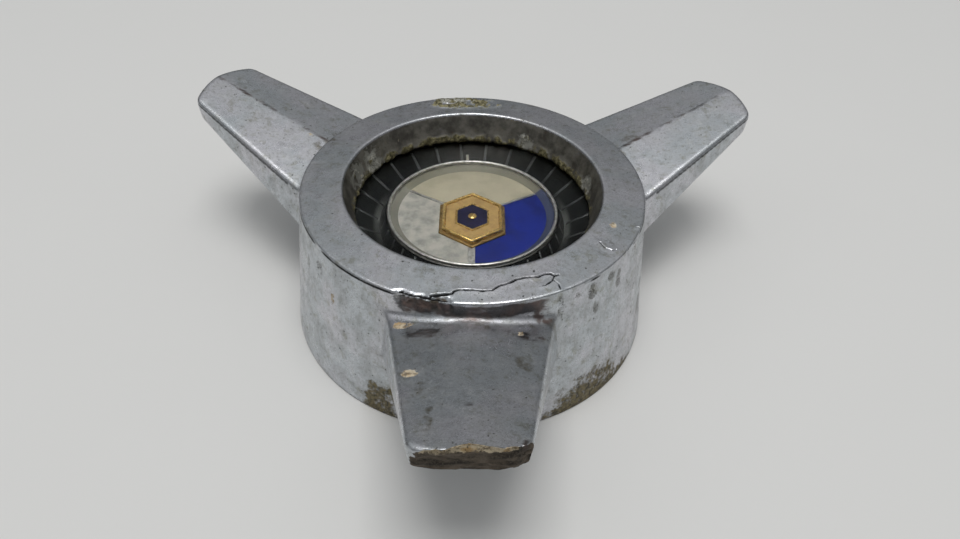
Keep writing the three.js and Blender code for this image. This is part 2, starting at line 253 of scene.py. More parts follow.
def casting_field(points):
    """Signed distance, in millimetres, to the undamaged casting: negative inside."""
    x, y, z = points[..., 0], points[..., 1], points[..., 2]
    radius = np.hypot(x, y)
    wall = (radius - hub_wall_radius(z)) * 0.994
    crown = HUB_HEIGHT + RING_CROWN * (HUB_TOP_RADIUS - radius) / (HUB_TOP_RADIUS - WELL_TOP_RADIUS)
    hub = smooth_max(wall, z - crown, EDGE_ROUND)
    body = smooth_max(hub, -z, 0.5)
    for angle in EAR_ANGLES:
        body = smooth_min(body, ear_field(points, angle), EAR_FILLET)
    slope = (WELL_TOP_RADIUS - WELL_FLOOR_RADIUS) / (HUB_HEIGHT + RING_CROWN - SHELF_Z)
    well = (radius - (WELL_FLOOR_RADIUS + slope * (z - SHELF_Z))) * 0.936
    body = smooth_max(body, -np.maximum(well, SHELF_Z - 2 - z), EDGE_ROUND)
    barrel = np.maximum(radius - BARREL_RADIUS, z - SHELF_Z)
    draft = (CAVITY_BASE_RADIUS - CAVITY_RADIUS) / BARREL_REAR_Z
    cavity = np.maximum(radius - (CAVITY_BASE_RADIUS - draft * z), z - BARREL_REAR_Z)
    body = smooth_max(body, -smooth_min(barrel, cavity, 0.3), 0.5)
    for angle in BOSS_ANGLES:
        out, across, _ = ear_frame(points, angle)
        boss = np.hypot(out - BOSS_CIRCLE, across) - BOSS_RADIUS
        boss = np.maximum(np.maximum(boss, -z), z - BARREL_REAR_Z - 3)
        body = smooth_min(body, boss, 1.2)
        hole = np.hypot(out - BOSS_CIRCLE, across) - BOSS_HOLE_RADIUS
        body = np.maximum(body, -np.maximum(hole, z - BOSS_HOLE_DEPTH))
    for angle in EAR_ANGLES:
        out, across, _ = ear_frame(points, angle)
        hole = np.hypot(out - SCREW_CIRCLE, across) - SCREW_HOLE_RADIUS
        body = np.maximum(body, -np.maximum(hole, z - SCREW_HOLE_TOP))
    return np.maximum(body, -z)


# ------------------------------------------------------------------ surface around a field


def surface_net(field, low, high, step):
    """Vertices and four-cornered faces of the surface where field is zero."""
    axes = [np.arange(low[a], high[a] + step, step) for a in range(3)]
    shape = tuple(len(axis) for axis in axes)
    values = np.empty(shape, np.float32)
    gx, gy = np.meshgrid(axes[0], axes[1], indexing="ij")
    for k, z in enumerate(axes[2]):
        plane = np.stack([gx, gy, np.full_like(gx, z)], -1)
        values[:, :, k] = field(plane)
    inside = values < 0
    corners = [(dx, dy, dz) for dx in (0, 1) for dy in (0, 1) for dz in (0, 1)]

    def shifted(array, corner):
        return array[tuple(slice(d, n - 1 + d) for d, n in zip(corner, shape))]

    count = sum(shifted(inside, corner).astype(np.int8) for corner in corners)
    active = (count > 0) & (count < 8)
    cells = np.argwhere(active)
    number = np.full(active.shape, -1, np.int64)
    number[active] = np.arange(len(cells))
    position = np.zeros((len(cells), 3))
    crossings = np.zeros(len(cells))
    for a in corners:
        for axis in range(3):
            if a[axis]:
                continue
            b = tuple(1 if n == axis else a[n] for n in range(3))
            fa = values[tuple((cells + a).T)]
            fb = values[tuple((cells + b).T)]
            cut = (fa < 0) != (fb < 0)
            t = np.where(cut, fa / np.where(cut, fa - fb, 1), 0)
            point = np.tile(np.array(a, float), (len(cells), 1))
            point[:, axis] += t
            position += point * cut[:, None]
            crossings += cut
    position /= crossings[:, None]
    vertices = np.array(low) + (cells + position) * step
    faces = []
    for axis in range(3):
        first = inside[tuple(slice(0, -1) if n == axis else slice(None) for n in range(3))]
        second = inside[tuple(slice(1, None) if n == axis else slice(None) for n in range(3))]
        edges = np.argwhere(first != second)
        u, v = (axis + 1) % 3, (axis + 2) % 3
        keep = (edges[:, u] > 0) & (edges[:, v] > 0)
        edges = edges[keep]
        ring = []
        for du, dv in ((-1, -1), (0, -1), (0, 0), (-1, 0)):
            cell = edges.copy()
            cell[:, u] += du
            cell[:, v] += dv
            ring.append(number[tuple(cell.T)])
        quads = np.stack(ring, 1)
        outwards = first[tuple(edges.T)]
        quads[~outwards] = quads[~outwards][:, ::-1]
        faces.append(quads)
    return vertices, np.concatenate(faces)


def gradient(field, points, reach=0.02):
    """The field's value and slope at each point."""
    centre = field(points)
    slopes = []
    for axis in range(3):
        moved = points.copy()
        moved[:, axis] += reach
        slopes.append((field(moved) - centre) / reach)
    return centre, np.stack(slopes, 1)


def settle(field, points, rounds=3):
    """Moves points onto the field's zero surface."""
    for _ in range(rounds):
        value, slope = gradient(field, points)
        points = points - slope * (value / np.maximum((slope**2).sum(1), 0.2))[:, None]
    return points


# ------------------------------------------------------------------ damage and corrosion

# Paths on the top ring, x and y from the hub axis: the long crack in the plating above the
# front ear with its branches, and two short ones to the right.
CRACKS = [
    [(-14.6, -39.9), (-12.6, -41.5), (-9.9, -41.6), (-8.7, -40.4), (-7.8, -39.6), (-4.0, -39.2),
     (-3.7, -38.5), (-2.6, -38.1), (0.3, -38.1), (2.4, -38.3), (4.4, -38.0), (5.8, -36.7),
     (8.1, -35.7), (9.5, -34.7), (11.5, -34.0), (14.4, -33.6), (15.6, -32.8), (17.0, -32.5),
     (17.8, -33.1), (18.8, -32.7)],
    [(17.8, -33.1), (17.2, -34.6), (15.8, -35.9), (15.0, -36.2)],
    [(17.4, -34.2), (18.6, -35.4), (18.9, -36.8)],
    [(28.8, -21.6), (29.8, -23.2), (31.4, -23.9), (32.3, -23.6)],
    [(38.0, -15.2), (39.4, -15.4), (40.2, -16.4)],
]
CRACK_WIDTHS = [0.16, 0.10, 0.09, 0.09, 0.08]
# where the long crack stands open, the gash at its left end, and two small holes
GAPE = [(-8.3, -39.9), (-4.2, -39.2)]
CREVICE = [(-14.9, -38.5), (-13.1, -39.5), (-10.8, -39.9), (-8.2, -40.8), (-5.2, -41.0)]
CHIPPED_LINE = [(-15.2, -39.6), (-12.5, -40.9), (-8.0, -41.6), (-5.0, -41.2)]
RING_DOTS = [(13.5, -32.0), (10.8, -39.4)]


def blob(points, centre, size):
    """1 at a centre, falling to 0 at size millimetres from it."""
    gap = np.linalg.norm((points - np.array(centre)) / np.array(size), axis=1)
    return 1 - ramp(gap, 0.35, 1.0)


# The fracture face of the front ear: distance from the hub axis of its upper and lower edge
# at places across the ear.
FRACTURE_ACROSS = [-11, -9.4, -4.8, 0.3, 5.4, 8.6, 10.7]
FRACTURE_TOP = [81.4, 81.9, 81.2, 80.6, 80.7, 80.2, 79.0]
FRACTURE_FOOT = [79.4, 80.3, 80.9, 80.8, 80.7, 80.0, 78.4]
FRACTURE_FOOT_Z = 35.4
FRACTURE_HEIGHT = 6.0


def broken_tip(points):
    """Distance beyond the fracture face of the front ear."""
    out, across, z = ear_frame(points, EAR_ANGLES[0])
    top = np.interp(across, FRACTURE_ACROSS, FRACTURE_TOP)
    foot = np.interp(across, FRACTURE_ACROSS, FRACTURE_FOOT)
    level = np.clip((z - FRACTURE_FOOT_Z) / FRACTURE_HEIGHT, 0, 1)
    streaks = points * np.array([0.28, 1.0, 1.6])
    rough = 0.42 * layered_noise(streaks, 1.4, 11, 3)
    return out - (foot + (top - foot) * level) - rough


def crust_height(points, radius):
    """Corrosion that has grown out of the surface, in millimetres."""
    x, y, z = points.T
    lumps = 0.5 + 0.5 * layered_noise(points, 1.7, 21, 4)
    back = blob(points, (-3.0, 38.0, 38.0), (12.5, 4.0, 3.0))
    height = 0.7 * np.clip(back * (lumps * 2.8 - 0.8), 0, 1.3)
    angle = np.degrees(np.arctan2(y, x)) % 360
    around = 0.35 + 0.65 * ramp(np.sin(np.radians(angle)) + 0.35 * value_noise(points, 9, 25), -0.5, 0.4)
    foot = 1 - ramp(z, SHELF_Z + 0.2, SHELF_Z + 1.9 + 1.2 * lumps)
    in_well = (radius < WELL_TOP_RADIUS) & (z > SHELF_Z - 0.1)
    height += np.where(in_well, 0.5 * around * foot * np.clip(lumps * 1.6 - 0.25, 0, 1.2), 0)
    for centre, _, _ in BLOOM_SPOTS[:WELL_BLOOMS]:
        lump = blob(points, centre, (2.2, 2.2, 2.4))
        height += np.where(in_well, 0.4 * lump * np.clip(lumps * 2.4 - 0.6, 0, 1.4), 0)
    return height


def chipped_edge(points):
    """0..1 where the plating has broken out of the ring's front left edge."""
    x, y, z = points.T
    line = distance_to_path(points, CHIPPED_LINE)
    ragged = 1.35 + 0.9 * value_noise(points, 1.8, 31)
    return (1 - ramp(line, ragged * 0.6, ragged)) * ramp(z, 33.6, 35.6)


def damage(points, normals):
    """Height of the damaged surface over the clean one, and masks for the finish."""
    x, y, z = points.T
    radius = np.hypot(x, y)
    on_top = ramp(z, HUB_HEIGHT - 1.2, HUB_HEIGHT - 0.3) * (radius > 30) * (normals[:, 2] > 0.3)
    crack = np.zeros(len(points))
    lift = np.zeros(len(points))
    for path, width in zip(CRACKS, CRACK_WIDTHS):
        wobble = 0.10 * value_noise(points, 1.1, 41) + 0.06 * value_noise(points, 0.5, 42)
        gap = np.abs(distance_to_path(points, path) + wobble)
        crack = np.maximum(crack, (1 - ramp(gap, width * 0.6, width * 1.7)) * on_top)
        lift = np.maximum(lift, (1 - ramp(gap, width, 1.6)) * on_top)
    gape = 1 - ramp(distance_to_path(points, GAPE), 0.15, 0.5 + 0.25 * value_noise(points, 0.9, 43))
    crack = np.maximum(crack, gape * on_top)
    crevice_width = 0.55 + 0.35 * value_noise(points, 1.2, 44)
    crevice = 1 - ramp(distance_to_path(points, CREVICE), 0.2, crevice_width)
    crack = np.maximum(crack, crevice * ramp(z, 35.6, 36.2))
    chips = chipped_edge(points)
    pits = 0.5 + 0.5 * layered_noise(points, 1.3, 51, 3)
    crust = crust_height(points, radius)
    height = 0.06 * lift - 0.5 * crack - chips * (0.15 + 0.55 * pits) + crust
    height += 0.025 * layered_noise(points, 7.0, 61, 3)
    for x_dot, y_dot in RING_DOTS:
        crack = np.maximum(crack, (1 - ramp(np.hypot(x - x_dot, y - y_dot), 0.2, 0.4)) * on_top)
    return height, crack, chips, crust


def stained(points, spots, fine):
    """0..1 where any of the spots (centre, size, strength) lies, with ragged edges."""
    mask = np.zeros(len(points))
    for centre, size, strength in spots:
        ragged = np.clip(blob(points, centre, size) * (1.0 + 1.1 * fine), 0, 1)
        mask = np.maximum(mask, strength * ragged)
    return mask


def finish_masks(points, normals, fracture, crack, chips, crust):
    """Values from 0 to 1 at each point that the casting's material reads by name."""
    x, y, z = points.T
    radius = np.hypot(x, y)
    cloud = layered_noise(points, 9.0, 71, 4)
    fine = layered_noise(points, 1.9, 75, 4)
    outside = ramp(radius, hub_wall_radius(z) - 1.2, hub_wall_radius(z) - 0.4)
    low_right = blob(points, (30, -34, 0), (28, 18, 15)) * outside
    low_left = blob(points, (-21, -41, 3), (9, 6, 9)) * outside
    low_band = (1 - ramp(z, 0.3, 3.0)) * outside * 0.5
    grime = np.clip(1.3 * low_right + 1.2 * low_left + low_band + 0.4 * cloud + 0.35 * fine - 0.45, 0, 1)
    grime *= outside * (1 - ramp(z, 10, 15))
    in_well = (radius < WELL_TOP_RADIUS - 0.15) & (z > SHELF_Z - 0.2) & (z < HUB_HEIGHT + 0.4)
    rear = (normals[:, 2] < -0.5) & (z < 32) | (radius < hub_wall_radius(z) - 1.5) & (z < SHELF_Z)
    ear_below = (radius > 47) & (normals[:, 2] < -0.5)
    # the shade mask: painted dark reflections round the ears, with some dirt and dark spots
    shade = stained(points, DARK_REFLECTIONS_AND_SPOTS, fine)
    # painted dark reflection and dirt along the side ears' ridges
    for angle in EAR_ANGLES[1:]:
        out, across, _ = ear_frame(points, angle)
        painted_ridge_reflection = (1 - ramp(np.abs(across), 0.15, 0.9)) * (out > 44) * (normals[:, 2] > 0.5)
        shade = np.maximum(shade, 0.5 * painted_ridge_reflection * (1 + 0.6 * cloud))
    # painted dark reflection on the hub wall just above the front ear's root
    root = (1 - ramp(np.abs(radius - 42.7), 1.0, 1.9)) * (1 - ramp(np.abs(x), 14.5, 17.5)) * (y < 0)
    shade = np.maximum(shade, root * ramp(z, 33.4, 34.6) * (1 - ramp(z, 36.5, 37.0)))
    # painted dark reflection: a thin dark line under the ring's rounded outer edge
    painted_reflection_under_edge = (1 - ramp(np.abs(z - 36.85), 0.2, 0.5)) * (np.abs(radius - 42.6) < 1.0)
    painted_reflection_under_edge *= normals[:, 2] < 0.8
    painted_reflection_under_edge *= ramp(np.abs(x), 14, 18) * ramp(cloud, -0.7, 0.2)
    # painted dark reflection: a thin dark line just below the top edges of the side ears
    painted_reflection_under_arris = np.zeros(len(points))
    for angle in EAR_ANGLES[1:]:
        out, across, _ = ear_frame(points, angle)
        below_edge = z - (ear_line(EAR_TOP_EDGE_Z, out) - 1)
        gap = np.hypot(np.abs(across) - ear_line(EAR_TOP_HALF, out), below_edge)
        line = (1 - ramp(gap, 0.3, 0.65)) * (out > 44.5) * (out < 80)
        painted_reflection_under_arris = np.maximum(painted_reflection_under_arris, line)
    lip = fracture * ramp(z, 39.7, 40.8) * (1 - ramp(np.abs(x), 8.2, 9.4))
    return {
        # the crack mask also carries the painted dark reflection lines
        "crack": np.maximum(crack, np.maximum(0.9 * painted_reflection_under_edge, 0.6 * painted_reflection_under_arris)),
        "bare": np.clip(fracture + 0.85 * chips * ramp(fine, -0.6, 0.6), 0, 1),
        "crust": np.clip(crust * 2.4, 0, 1),
        "bloom": stained(points, BLOOM_SPOTS, fine),
        "grime": grime,
        "smudge": stained(points, SMUDGES, fine),
        "tan": np.maximum(stained(points, TAN_SPOTS, fine), lip),
        "shade": shade,
        "flake": stained(points, FLAKE_PATCHES, fine),
        "well": in_well.astype(float),
        "inside": (rear & ~ear_below).astype(float),
    }


# Centre, size and strength of each spot. Olive and brown smudges:
SMUDGES = [
    ((-9.4, -65.0, 37.8), (1.5, 4.6, 2.5), 0.7),
    ((-7.4, -73.5, 40.0), (1.5, 5.0, 2.5), 0.75),
    ((10.5, -56.0, 35.6), (2.6, 4.5, 2.5), 0.6),
    ((2.2, -45.1, 34.0), (2.8, 1.8, 2.0), 0.6),
    ((4.6, -32.6, 38.2), (1.8, 0.9, 1.5), 0.5),
    ((-10.4, -32.4, 38.2), (3.4, 1.4, 1.5), 0.5),
    ((38.5, 20.8, 33.5), (3.4, 2.6, 4.0), 0.8),
    ((43.0, 26.5, 34.5), (5.0, 1.8, 3.0), 0.6),
    ((40.5, 12.0, 33.0), (2.0, 3.6, 3.0), 0.6),
    ((-40.0, 20.5, 34.0), (3.4, 3.0, 4.0), 0.75),
    ((-37.5, 17.0, 37.6), (2.4, 3.4, 1.2), 0.6),
    ((-36.0, 26.0, 34.5), (4.4, 2.2, 3.0), 0.5),
    ((-73.5, 44.5, 41.0), (2.4, 3.0, 2.5), 0.5),
    ((17.0, -41.0, 28.0), (2.6, 3.0, 12.0), 0.55),
]
# pale tan scale
TAN_SPOTS = [
    ((-14.4, -43.2, 32.0), (2.9, 1.8, 1.8), 1.0),
    ((-31.4, -30.0, 26.6), (1.2, 1.2, 2.0), 0.9),
    ((32.7, -15.1, 37.9), (1.2, 1.7, 1.0), 0.85),
    ((-11.6, -60.2, 36.2), (2.2, 1.6, 1.5), 1.0),
    ((10.4, -46.2, 33.3), (0.9, 0.9, 1.0), 0.8),
    ((-44.0, 24.0, 35.0), (1.0, 1.0, 1.5), 0.8),
]
# white growth: first the spots in the well, then those on the ring
WELL_BLOOMS = 4
BLOOM_SPOTS = [
    ((-26.5, 15.0, 34.0), (4.0, 5.0, 4.5), 0.9),
    ((-29.9, 7.0, 34.2), (3.0, 6.0, 4.5), 0.9),
    ((14.2, 26.6, 33.4), (3.4, 3.0, 3.0), 1.0),
    ((29.0, 7.0, 33.4), (2.0, 4.5, 3.0), 0.9),
    ((-5.4, 38.7, 37.9), (7.0, 2.4, 2.0), 0.7),
    ((-10.5, -41.0, 37.4), (3.4, 1.6, 1.4), 0.9),
]
# painted dark reflections round the root of the front ear, and dark spots on its top and broken tip
DARK_REFLECTIONS_AND_SPOTS = [
    ((-9.0, -46.9, 33.2), (6.4, 2.5, 2.2), 0.62),
    ((12.6, -47.0, 33.0), (4.4, 2.2, 2.0), 0.8),
    ((15.5, -40.0, 32.6), (3.2, 2.6, 3.4), 1.0),
    ((-14.5, -40.4, 34.8), (3.4, 2.4, 2.4), 0.8),
    ((-0.3, -70.0, 39.6), (1.6, 1.0, 1.5), 0.6),
    ((-10.0, -80.0, 40.5), (2.0, 1.6, 2.0), 0.5),
    ((10.1, -80.2, 40.0), (1.7, 2.4, 3.4), 1.0),
]
# patches where the plating has lifted
FLAKE_PATCHES = [
    ((33.4, -26.6, 32.0), (1.5, 1.8, 3.4), 1.0),
    ((31.2, -28.8, 34.4), (2.4, 2.0, 1.6), 0.9),
    ((26.6, -33.0, 33.8), (2.2, 2.0, 3.4), 1.0),
    ((27.8, -32.4, 28.4), (1.4, 1.6, 2.6), 0.9),
    ((23.0, -35.6, 34.8), (2.6, 2.0, 1.4), 0.8),
    ((42.3, -13.8, 14.0), (2.0, 3.0, 9.0), 1.0),
    ((39.2, -20.5, 20.0), (1.6, 2.0, 6.0), 0.9),
    ((37.0, -20.5, 34.5), (1.6, 3.0, 2.6), 0.9),
    ((19.2, -37.8, 33.0), (1.6, 1.8, 4.6), 0.9),
    ((-34.5, -25.2, 31.5), (1.8, 2.2, 4.4), 0.9),
    ((-37.6, -19.5, 29.0), (1.2, 2.0, 4.0), 0.8),
    ((31.9, -20.9, 37.8), (1.6, 2.2, 1.2), 0.6),
]


def make_mesh(name, vertices, faces):
    """A smooth shaded object from arrays of vertices in millimetres and faces."""
    mesh = bpy.data.meshes.new(name)
    mesh.from_pydata([], [], [])
    mesh.vertices.add(len(vertices))
    mesh.vertices.foreach_set("co", (np.asarray(vertices) * MM).astype(np.float32).ravel())
    mesh.loops.add(faces.size)
    mesh.loops.foreach_set("vertex_index", faces.astype(np.int32).ravel())
    mesh.polygons.add(len(faces))
    mesh.polygons.foreach_set("loop_start", np.arange(0, faces.size, faces.shape[1], dtype=np.int32))
    mesh.polygons.foreach_set("use_smooth", np.full(len(faces), True))
    mesh.update(calc_edges=True)
    mesh.validate()
    obj = bpy.data.objects.new(name, mesh)
    bpy.context.scene.collection.objects.link(obj)
    return obj


def vertex_positions(obj):
    """Vertices in millimetres, one row each."""
    flat = np.empty(len(obj.data.vertices) * 3, np.float32)
    obj.data.vertices.foreach_get("co", flat)
    return flat.reshape(-1, 3).astype(float) / MM


def store_mask(obj, name, values):
    """Stores one number for each vertex, which a material reads by name."""
    attribute = obj.data.attributes.new(name, "FLOAT", "POINT")
    attribute.data.foreach_set("value", values.astype(np.float32))


def refine_near(obj, wanted, cuts):
    """Splits the faces whose centres wanted(points) picks."""
    mesh = bmesh.new()
    mesh.from_mesh(obj.data)
    centres = np.array([face.calc_center_median()[:] for face in mesh.faces]) / MM
    picked = wanted(centres)
    mesh.faces.ensure_lookup_table()
    edges = {edge for index in np.flatnonzero(picked) for edge in mesh.faces[index].edges}
    bmesh.ops.subdivide_edges(mesh, edges=list(edges), cuts=cuts, use_grid_fill=True)
    bmesh.ops.triangulate(mesh, faces=[face for face in mesh.faces if len(face.verts) > 4])
    for face in mesh.faces:
        face.smooth = True
    mesh.to_mesh(obj.data)
    mesh.free()


def near_fine_damage(centres):
    """True where a face lies on the top ring beside a crack."""
    on_ring = centres[:, 2] > HUB_HEIGHT - 3.5
    gap = np.full(len(centres), 1e9)
    for path in CRACKS:
        gap = np.minimum(gap, distance_to_path(centres, path))
    return on_ring & (gap < 0.9)


def build_casting_skin():
    """The casting: its clean surface, broken, cracked, chipped and corroded."""
    margin = 2 * SKIN_STEP
    low = CASTING_LOW - margin
    vertices, faces = surface_net(casting_field, low, CASTING_HIGH + margin, SKIN_STEP)
    obj = make_mesh("spinner_skin", settle(casting_field, vertices), faces)
    refine_near(obj, near_fine_damage, 3)
    points = settle(casting_field, vertex_positions(obj))
    fracture = ramp(broken_tip(points), -0.15, 0.15)
    for _ in range(3):
        points[:, 1] += np.maximum(broken_tip(points), 0)
    _, slope = gradient(casting_field, points)
    normals = slope / np.linalg.norm(slope, axis=1)[:, None]
    height, crack, chips, crust = damage(points, normals)
    masks = finish_masks(points, normals, fracture, crack, chips, crust)
    points = points + normals * height[:, None]
    points[:, 2] = np.maximum(points[:, 2], 0)
    obj.data.vertices.foreach_set("co", (points * MM).astype(np.float32).ravel())
    for name, values in masks.items():
        store_mask(obj, name, values)
    obj.data.update()
    return obj


# ------------------------------------------------------------------ material nodes


class Paint:
    """A material under construction: a Principled shader and short calls that add nodes."""

    def __init__(self, name):
        self.material = bpy.data.materials.new(name)
        self.material.use_nodes = True
        self.tree = self.material.node_tree
        self.shader = self.tree.nodes["Principled BSDF"]
        self.place = self.tree.nodes.new("ShaderNodeTexCoord").outputs["Object"]

    def put(self, socket, value):
        """Sets a socket to a number or colour, or links it to another node's output."""
        if isinstance(value, bpy.types.NodeSocket):
            self.tree.links.new(value, socket)
        elif socket.type == "RGBA":
            socket.default_value = (*value, 1.0)
        else:
            socket.default_value = value

    def set(self, **values):
        for name, value in values.items():
            self.put(self.shader.inputs[name.replace("_", " ")], value)

    def math(self, operation, *values):
        node = self.tree.nodes.new("ShaderNodeMath")
        node.operation = operation
        for socket, value in zip(node.inputs, values):
            self.put(socket, value)
        return node.outputs[0]

    def noise(self, size, detail=4.0, roughness=0.55, stretch=(1, 1, 1), offset=0.0):
        """Noise in 0..1 with features about size millimetres across."""
        mapping = self.tree.nodes.new("ShaderNodeMapping")
        self.put(mapping.inputs["Vector"], self.place)
        mapping.inputs["Location"].default_value = (offset, offset * 0.7, offset * 1.3)
        mapping.inputs["Scale"].default_value = stretch
        node = self.tree.nodes.new("ShaderNodeTexNoise")
        self.put(node.inputs["Vector"], mapping.outputs[0])
        node.inputs["Scale"].default_value = 1 / (size * MM)
        node.inputs["Detail"].default_value = detail
        node.inputs["Roughness"].default_value = roughness
        return node.outputs["Fac"]

    def cells(self, size, randomness=1.0):
        """Distance to the nearest of scattered points, in cell sizes."""
        node = self.tree.nodes.new("ShaderNodeTexVoronoi")
        self.put(node.inputs["Vector"], self.place)
        node.inputs["Scale"].default_value = 1 / (size * MM)
        node.inputs["Randomness"].default_value = randomness
        return node.outputs["Distance"]

    def ramp(self, value, low, high, start=0.0, end=1.0):
        node = self.tree.nodes.new("ShaderNodeMapRange")
        node.interpolation_type = "SMOOTHSTEP"
        self.put(node.inputs["Value"], value)
        for name, number in (("From Min", low), ("From Max", high), ("To Min", start), ("To Max", end)):
            node.inputs[name].default_value = number
        return node.outputs["Result"]

    def mask(self, name):
        node = self.tree.nodes.new("ShaderNodeAttribute")
        node.attribute_name = name
        return node.outputs["Fac"]

    def mix(self, factor, first, second, blend="MIX"):
        node = self.tree.nodes.new("ShaderNodeMix")
        node.data_type = "RGBA"
        node.blend_type = blend
        self.put(node.inputs[0], factor)
        self.put(node.inputs[6], first)
        self.put(node.inputs[7], second)
        return node.outputs[2]

    def coat(self, colour, mask, strength, over):
        """The colour with another one laid over it where mask is 1."""
        return self.mix(self.math("MULTIPLY", mask, strength), colour, over)

    def tint(self, colour, noise, low, high, strength, over):
        """The colour with another one laid over it where the noise is high."""
        return self.mix(self.ramp(noise, low, high, 0.0, strength), colour, over)

    def blend(self, factor, first, second):
        """Mix of two numbers."""
        node = self.tree.nodes.new("ShaderNodeMix")
        node.data_type = "FLOAT"
        self.put(node.inputs[0], factor)
        self.put(node.inputs[2], first)
        self.put(node.inputs[3], second)
        return node.outputs[0]

    def bump(self, height, distance, strength=1.0):
        """Bump of a height in 0..1 that stands distance millimetres tall."""
        node = self.tree.nodes.new("ShaderNodeBump")
        node.inputs["Strength"].default_value = strength
        node.inputs["Distance"].default_value = distance * MM
        self.put(node.inputs["Height"], height)
        self.tree.links.new(node.outputs[0], self.shader.inputs["Normal"])


def broken_up(paint, mask, fine, low=0.3, high=0.7, depth=3.2):
    """A mask whose edge is made ragged by a fine noise."""
    shifted = paint.math("ADD", mask, paint.math("MULTIPLY", paint.math("SUBTRACT", fine, 0.5), depth))
    return paint.ramp(paint.math("MULTIPLY", shifted, paint.ramp(mask, 0.0, 0.15)), low, high)


def worn_chrome():
    """Dulled, pitted plate, then what lies on it, from flakes and dirt to crust and cracks, with painted
    dark reflections near the ears and the ring's edge.
    """
    paint = Paint("worn_chrome")
    cloud = paint.noise(14, 5)
    patch = paint.noise(4.5, 6, 0.62, offset=3.1)
    fine = paint.noise(0.9, 5, 0.7, offset=7.7)
    grain = paint.noise(0.3, 3, 0.7, offset=1.3)
    streak = paint.noise(1.6, 4, 0.6, stretch=(0.35, 1, 1), offset=5.0)
    runs = paint.noise(2.0, 5, 0.65, stretch=(1, 1, 0.3), offset=15.0)
    smear = paint.noise(1.3, 6, 0.7, offset=51.0)

    plate = paint.mix(paint.ramp(cloud, 0.38, 0.62), (0.57, 0.605, 0.64), (0.66, 0.66, 0.705))
    plate = paint.tint(plate, patch, 0.42, 0.66, 0.45, (0.42, 0.435, 0.44))
    plate = paint.tint(plate, runs, 0.50, 0.72, 0.35, (0.30, 0.30, 0.285))
    plate = paint.tint(plate, fine, 0.50, 0.72, 0.6, (0.24, 0.245, 0.235))
    plate = paint.mix(paint.ramp(grain, 0.30, 0.62, 0.34, 0.0), plate, (0.17, 0.17, 0.16))
    stain = paint.ramp(paint.noise(2.8, 6, 0.7, offset=21.0), 0.54, 0.68, 0.0, 0.45)
    plate = paint.mix(stain, plate, (0.22, 0.215, 0.14))
    haze = paint.ramp(paint.noise(3.4, 6, 0.7, offset=31.0), 0.54, 0.70, 0.0, 0.3)
    plate = paint.mix(haze, plate, (0.80, 0.81, 0.82))

    speck_size = paint.ramp(paint.math("MULTIPLY", patch, fine), 0.20, 0.38, 0.0, 0.2)
    specks = paint.math("LESS_THAN", paint.cells(1.3), speck_size)
    pitted = paint.ramp(patch, 0.42, 0.58, 0.15, 1.0)
    pits = paint.math("MULTIPLY", paint.ramp(grain, 0.58, 0.68), pitted)
    specks = paint.math("MAXIMUM", specks, pits)
    colour = paint.coat(plate, specks, 0.75, (0.05, 0.047, 0.04))

    smudge = broken_up(paint, paint.mask("smudge"), smear, 0.1, 1.0, 1.9)
    colour = paint.coat(colour, smudge, 0.8, (0.15, 0.128, 0.08))
    flake = broken_up(paint, paint.mask("flake"), runs, 0.4, 1.1, 4.5)
    flake_pits = broken_up(paint, paint.mask("flake"), grain, 0.9, 1.2, 4.5)
    colour = paint.coat(colour, flake, 0.6, (0.17, 0.17, 0.155))
    colour = paint.coat(colour, flake_pits, 0.8, (0.03, 0.028, 0.022))
    grime = broken_up(paint, paint.mask("grime"), smear, 0.15, 0.85, 2.4)
    dirt = paint.mix(paint.ramp(fine, 0.36, 0.62), (0.036, 0.028, 0.008), (0.20, 0.160, 0.072))
    colour = paint.coat(colour, grime, 0.92, dirt)
    well = paint.ramp(paint.mask("well"), 0.3, 0.7)
    patina = paint.mix(paint.ramp(patch, 0.35, 0.65), (0.10, 0.092, 0.075), (0.30, 0.285, 0.245))
    bloom = broken_up(paint, paint.mask("bloom"), fine)
    patina = paint.coat(patina, bloom, 0.8, (0.50, 0.50, 0.45))
    colour = paint.coat(colour, well, 0.95, patina)
    inside = paint.ramp(paint.mask("inside"), 0.3, 0.7)
    zinc = paint.mix(cloud, (0.19, 0.19, 0.185), (0.33, 0.33, 0.32))
    colour = paint.mix(inside, colour, zinc)
    bare = paint.ramp(paint.mask("bare"), 0.2, 0.7)
    pot_metal = paint.mix(paint.ramp(streak, 0.36, 0.66), (0.022, 0.017, 0.012), (0.13, 0.105, 0.08))
    pot_metal = paint.tint(pot_metal, grain, 0.45, 0.7, 0.5, (0.16, 0.14, 0.11))
    colour = paint.mix(bare, colour, pot_metal)
    # painted dark reflections from the shade mask: round the front ear's root and along the side ears'
    # ridges, with dark spots on the front ear
    tarnish = broken_up(paint, paint.mask("shade"), streak, 0.1, 0.95, 2.2)
    tone = paint.mix(paint.ramp(patch, 0.40, 0.60), (0.055, 0.052, 0.050), (0.125, 0.088, 0.078))
    colour = paint.coat(colour, tarnish, 0.9, tone)
    tan = broken_up(paint, paint.mask("tan"), fine)
    scale = paint.mix(paint.ramp(patch, 0.38, 0.50), (0.45, 0.29, 0.12), (0.60, 0.51, 0.36))
    scale = paint.mix(paint.ramp(smear, 0.40, 0.56, 0.85, 0.0), scale, (0.11, 0.075, 0.035))
    colour = paint.coat(colour, tan, 0.9, scale)
    crust = broken_up(paint, paint.mask("crust"), fine, 0.1, 0.5, 1.2)
    salts = paint.mix(paint.ramp(fine, 0.38, 0.68), (0.065, 0.058, 0.026), (0.42, 0.38, 0.22))
    salts = paint.coat(salts, bloom, 0.8, (0.50, 0.50, 0.46))
    salts = paint.mix(paint.ramp(grain, 0.35, 0.6, 0.7, 0.0), salts, (0.04, 0.038, 0.025))
    colour = paint.mix(crust, colour, salts)
    # black for the cracks, and for the painted dark reflection lines under the ring's edge and the side
    # ears' top edges
    crack = paint.ramp(paint.mask("crack"), 0.2, 0.8)
    colour = paint.mix(crack, colour, (0.004, 0.004, 0.004))

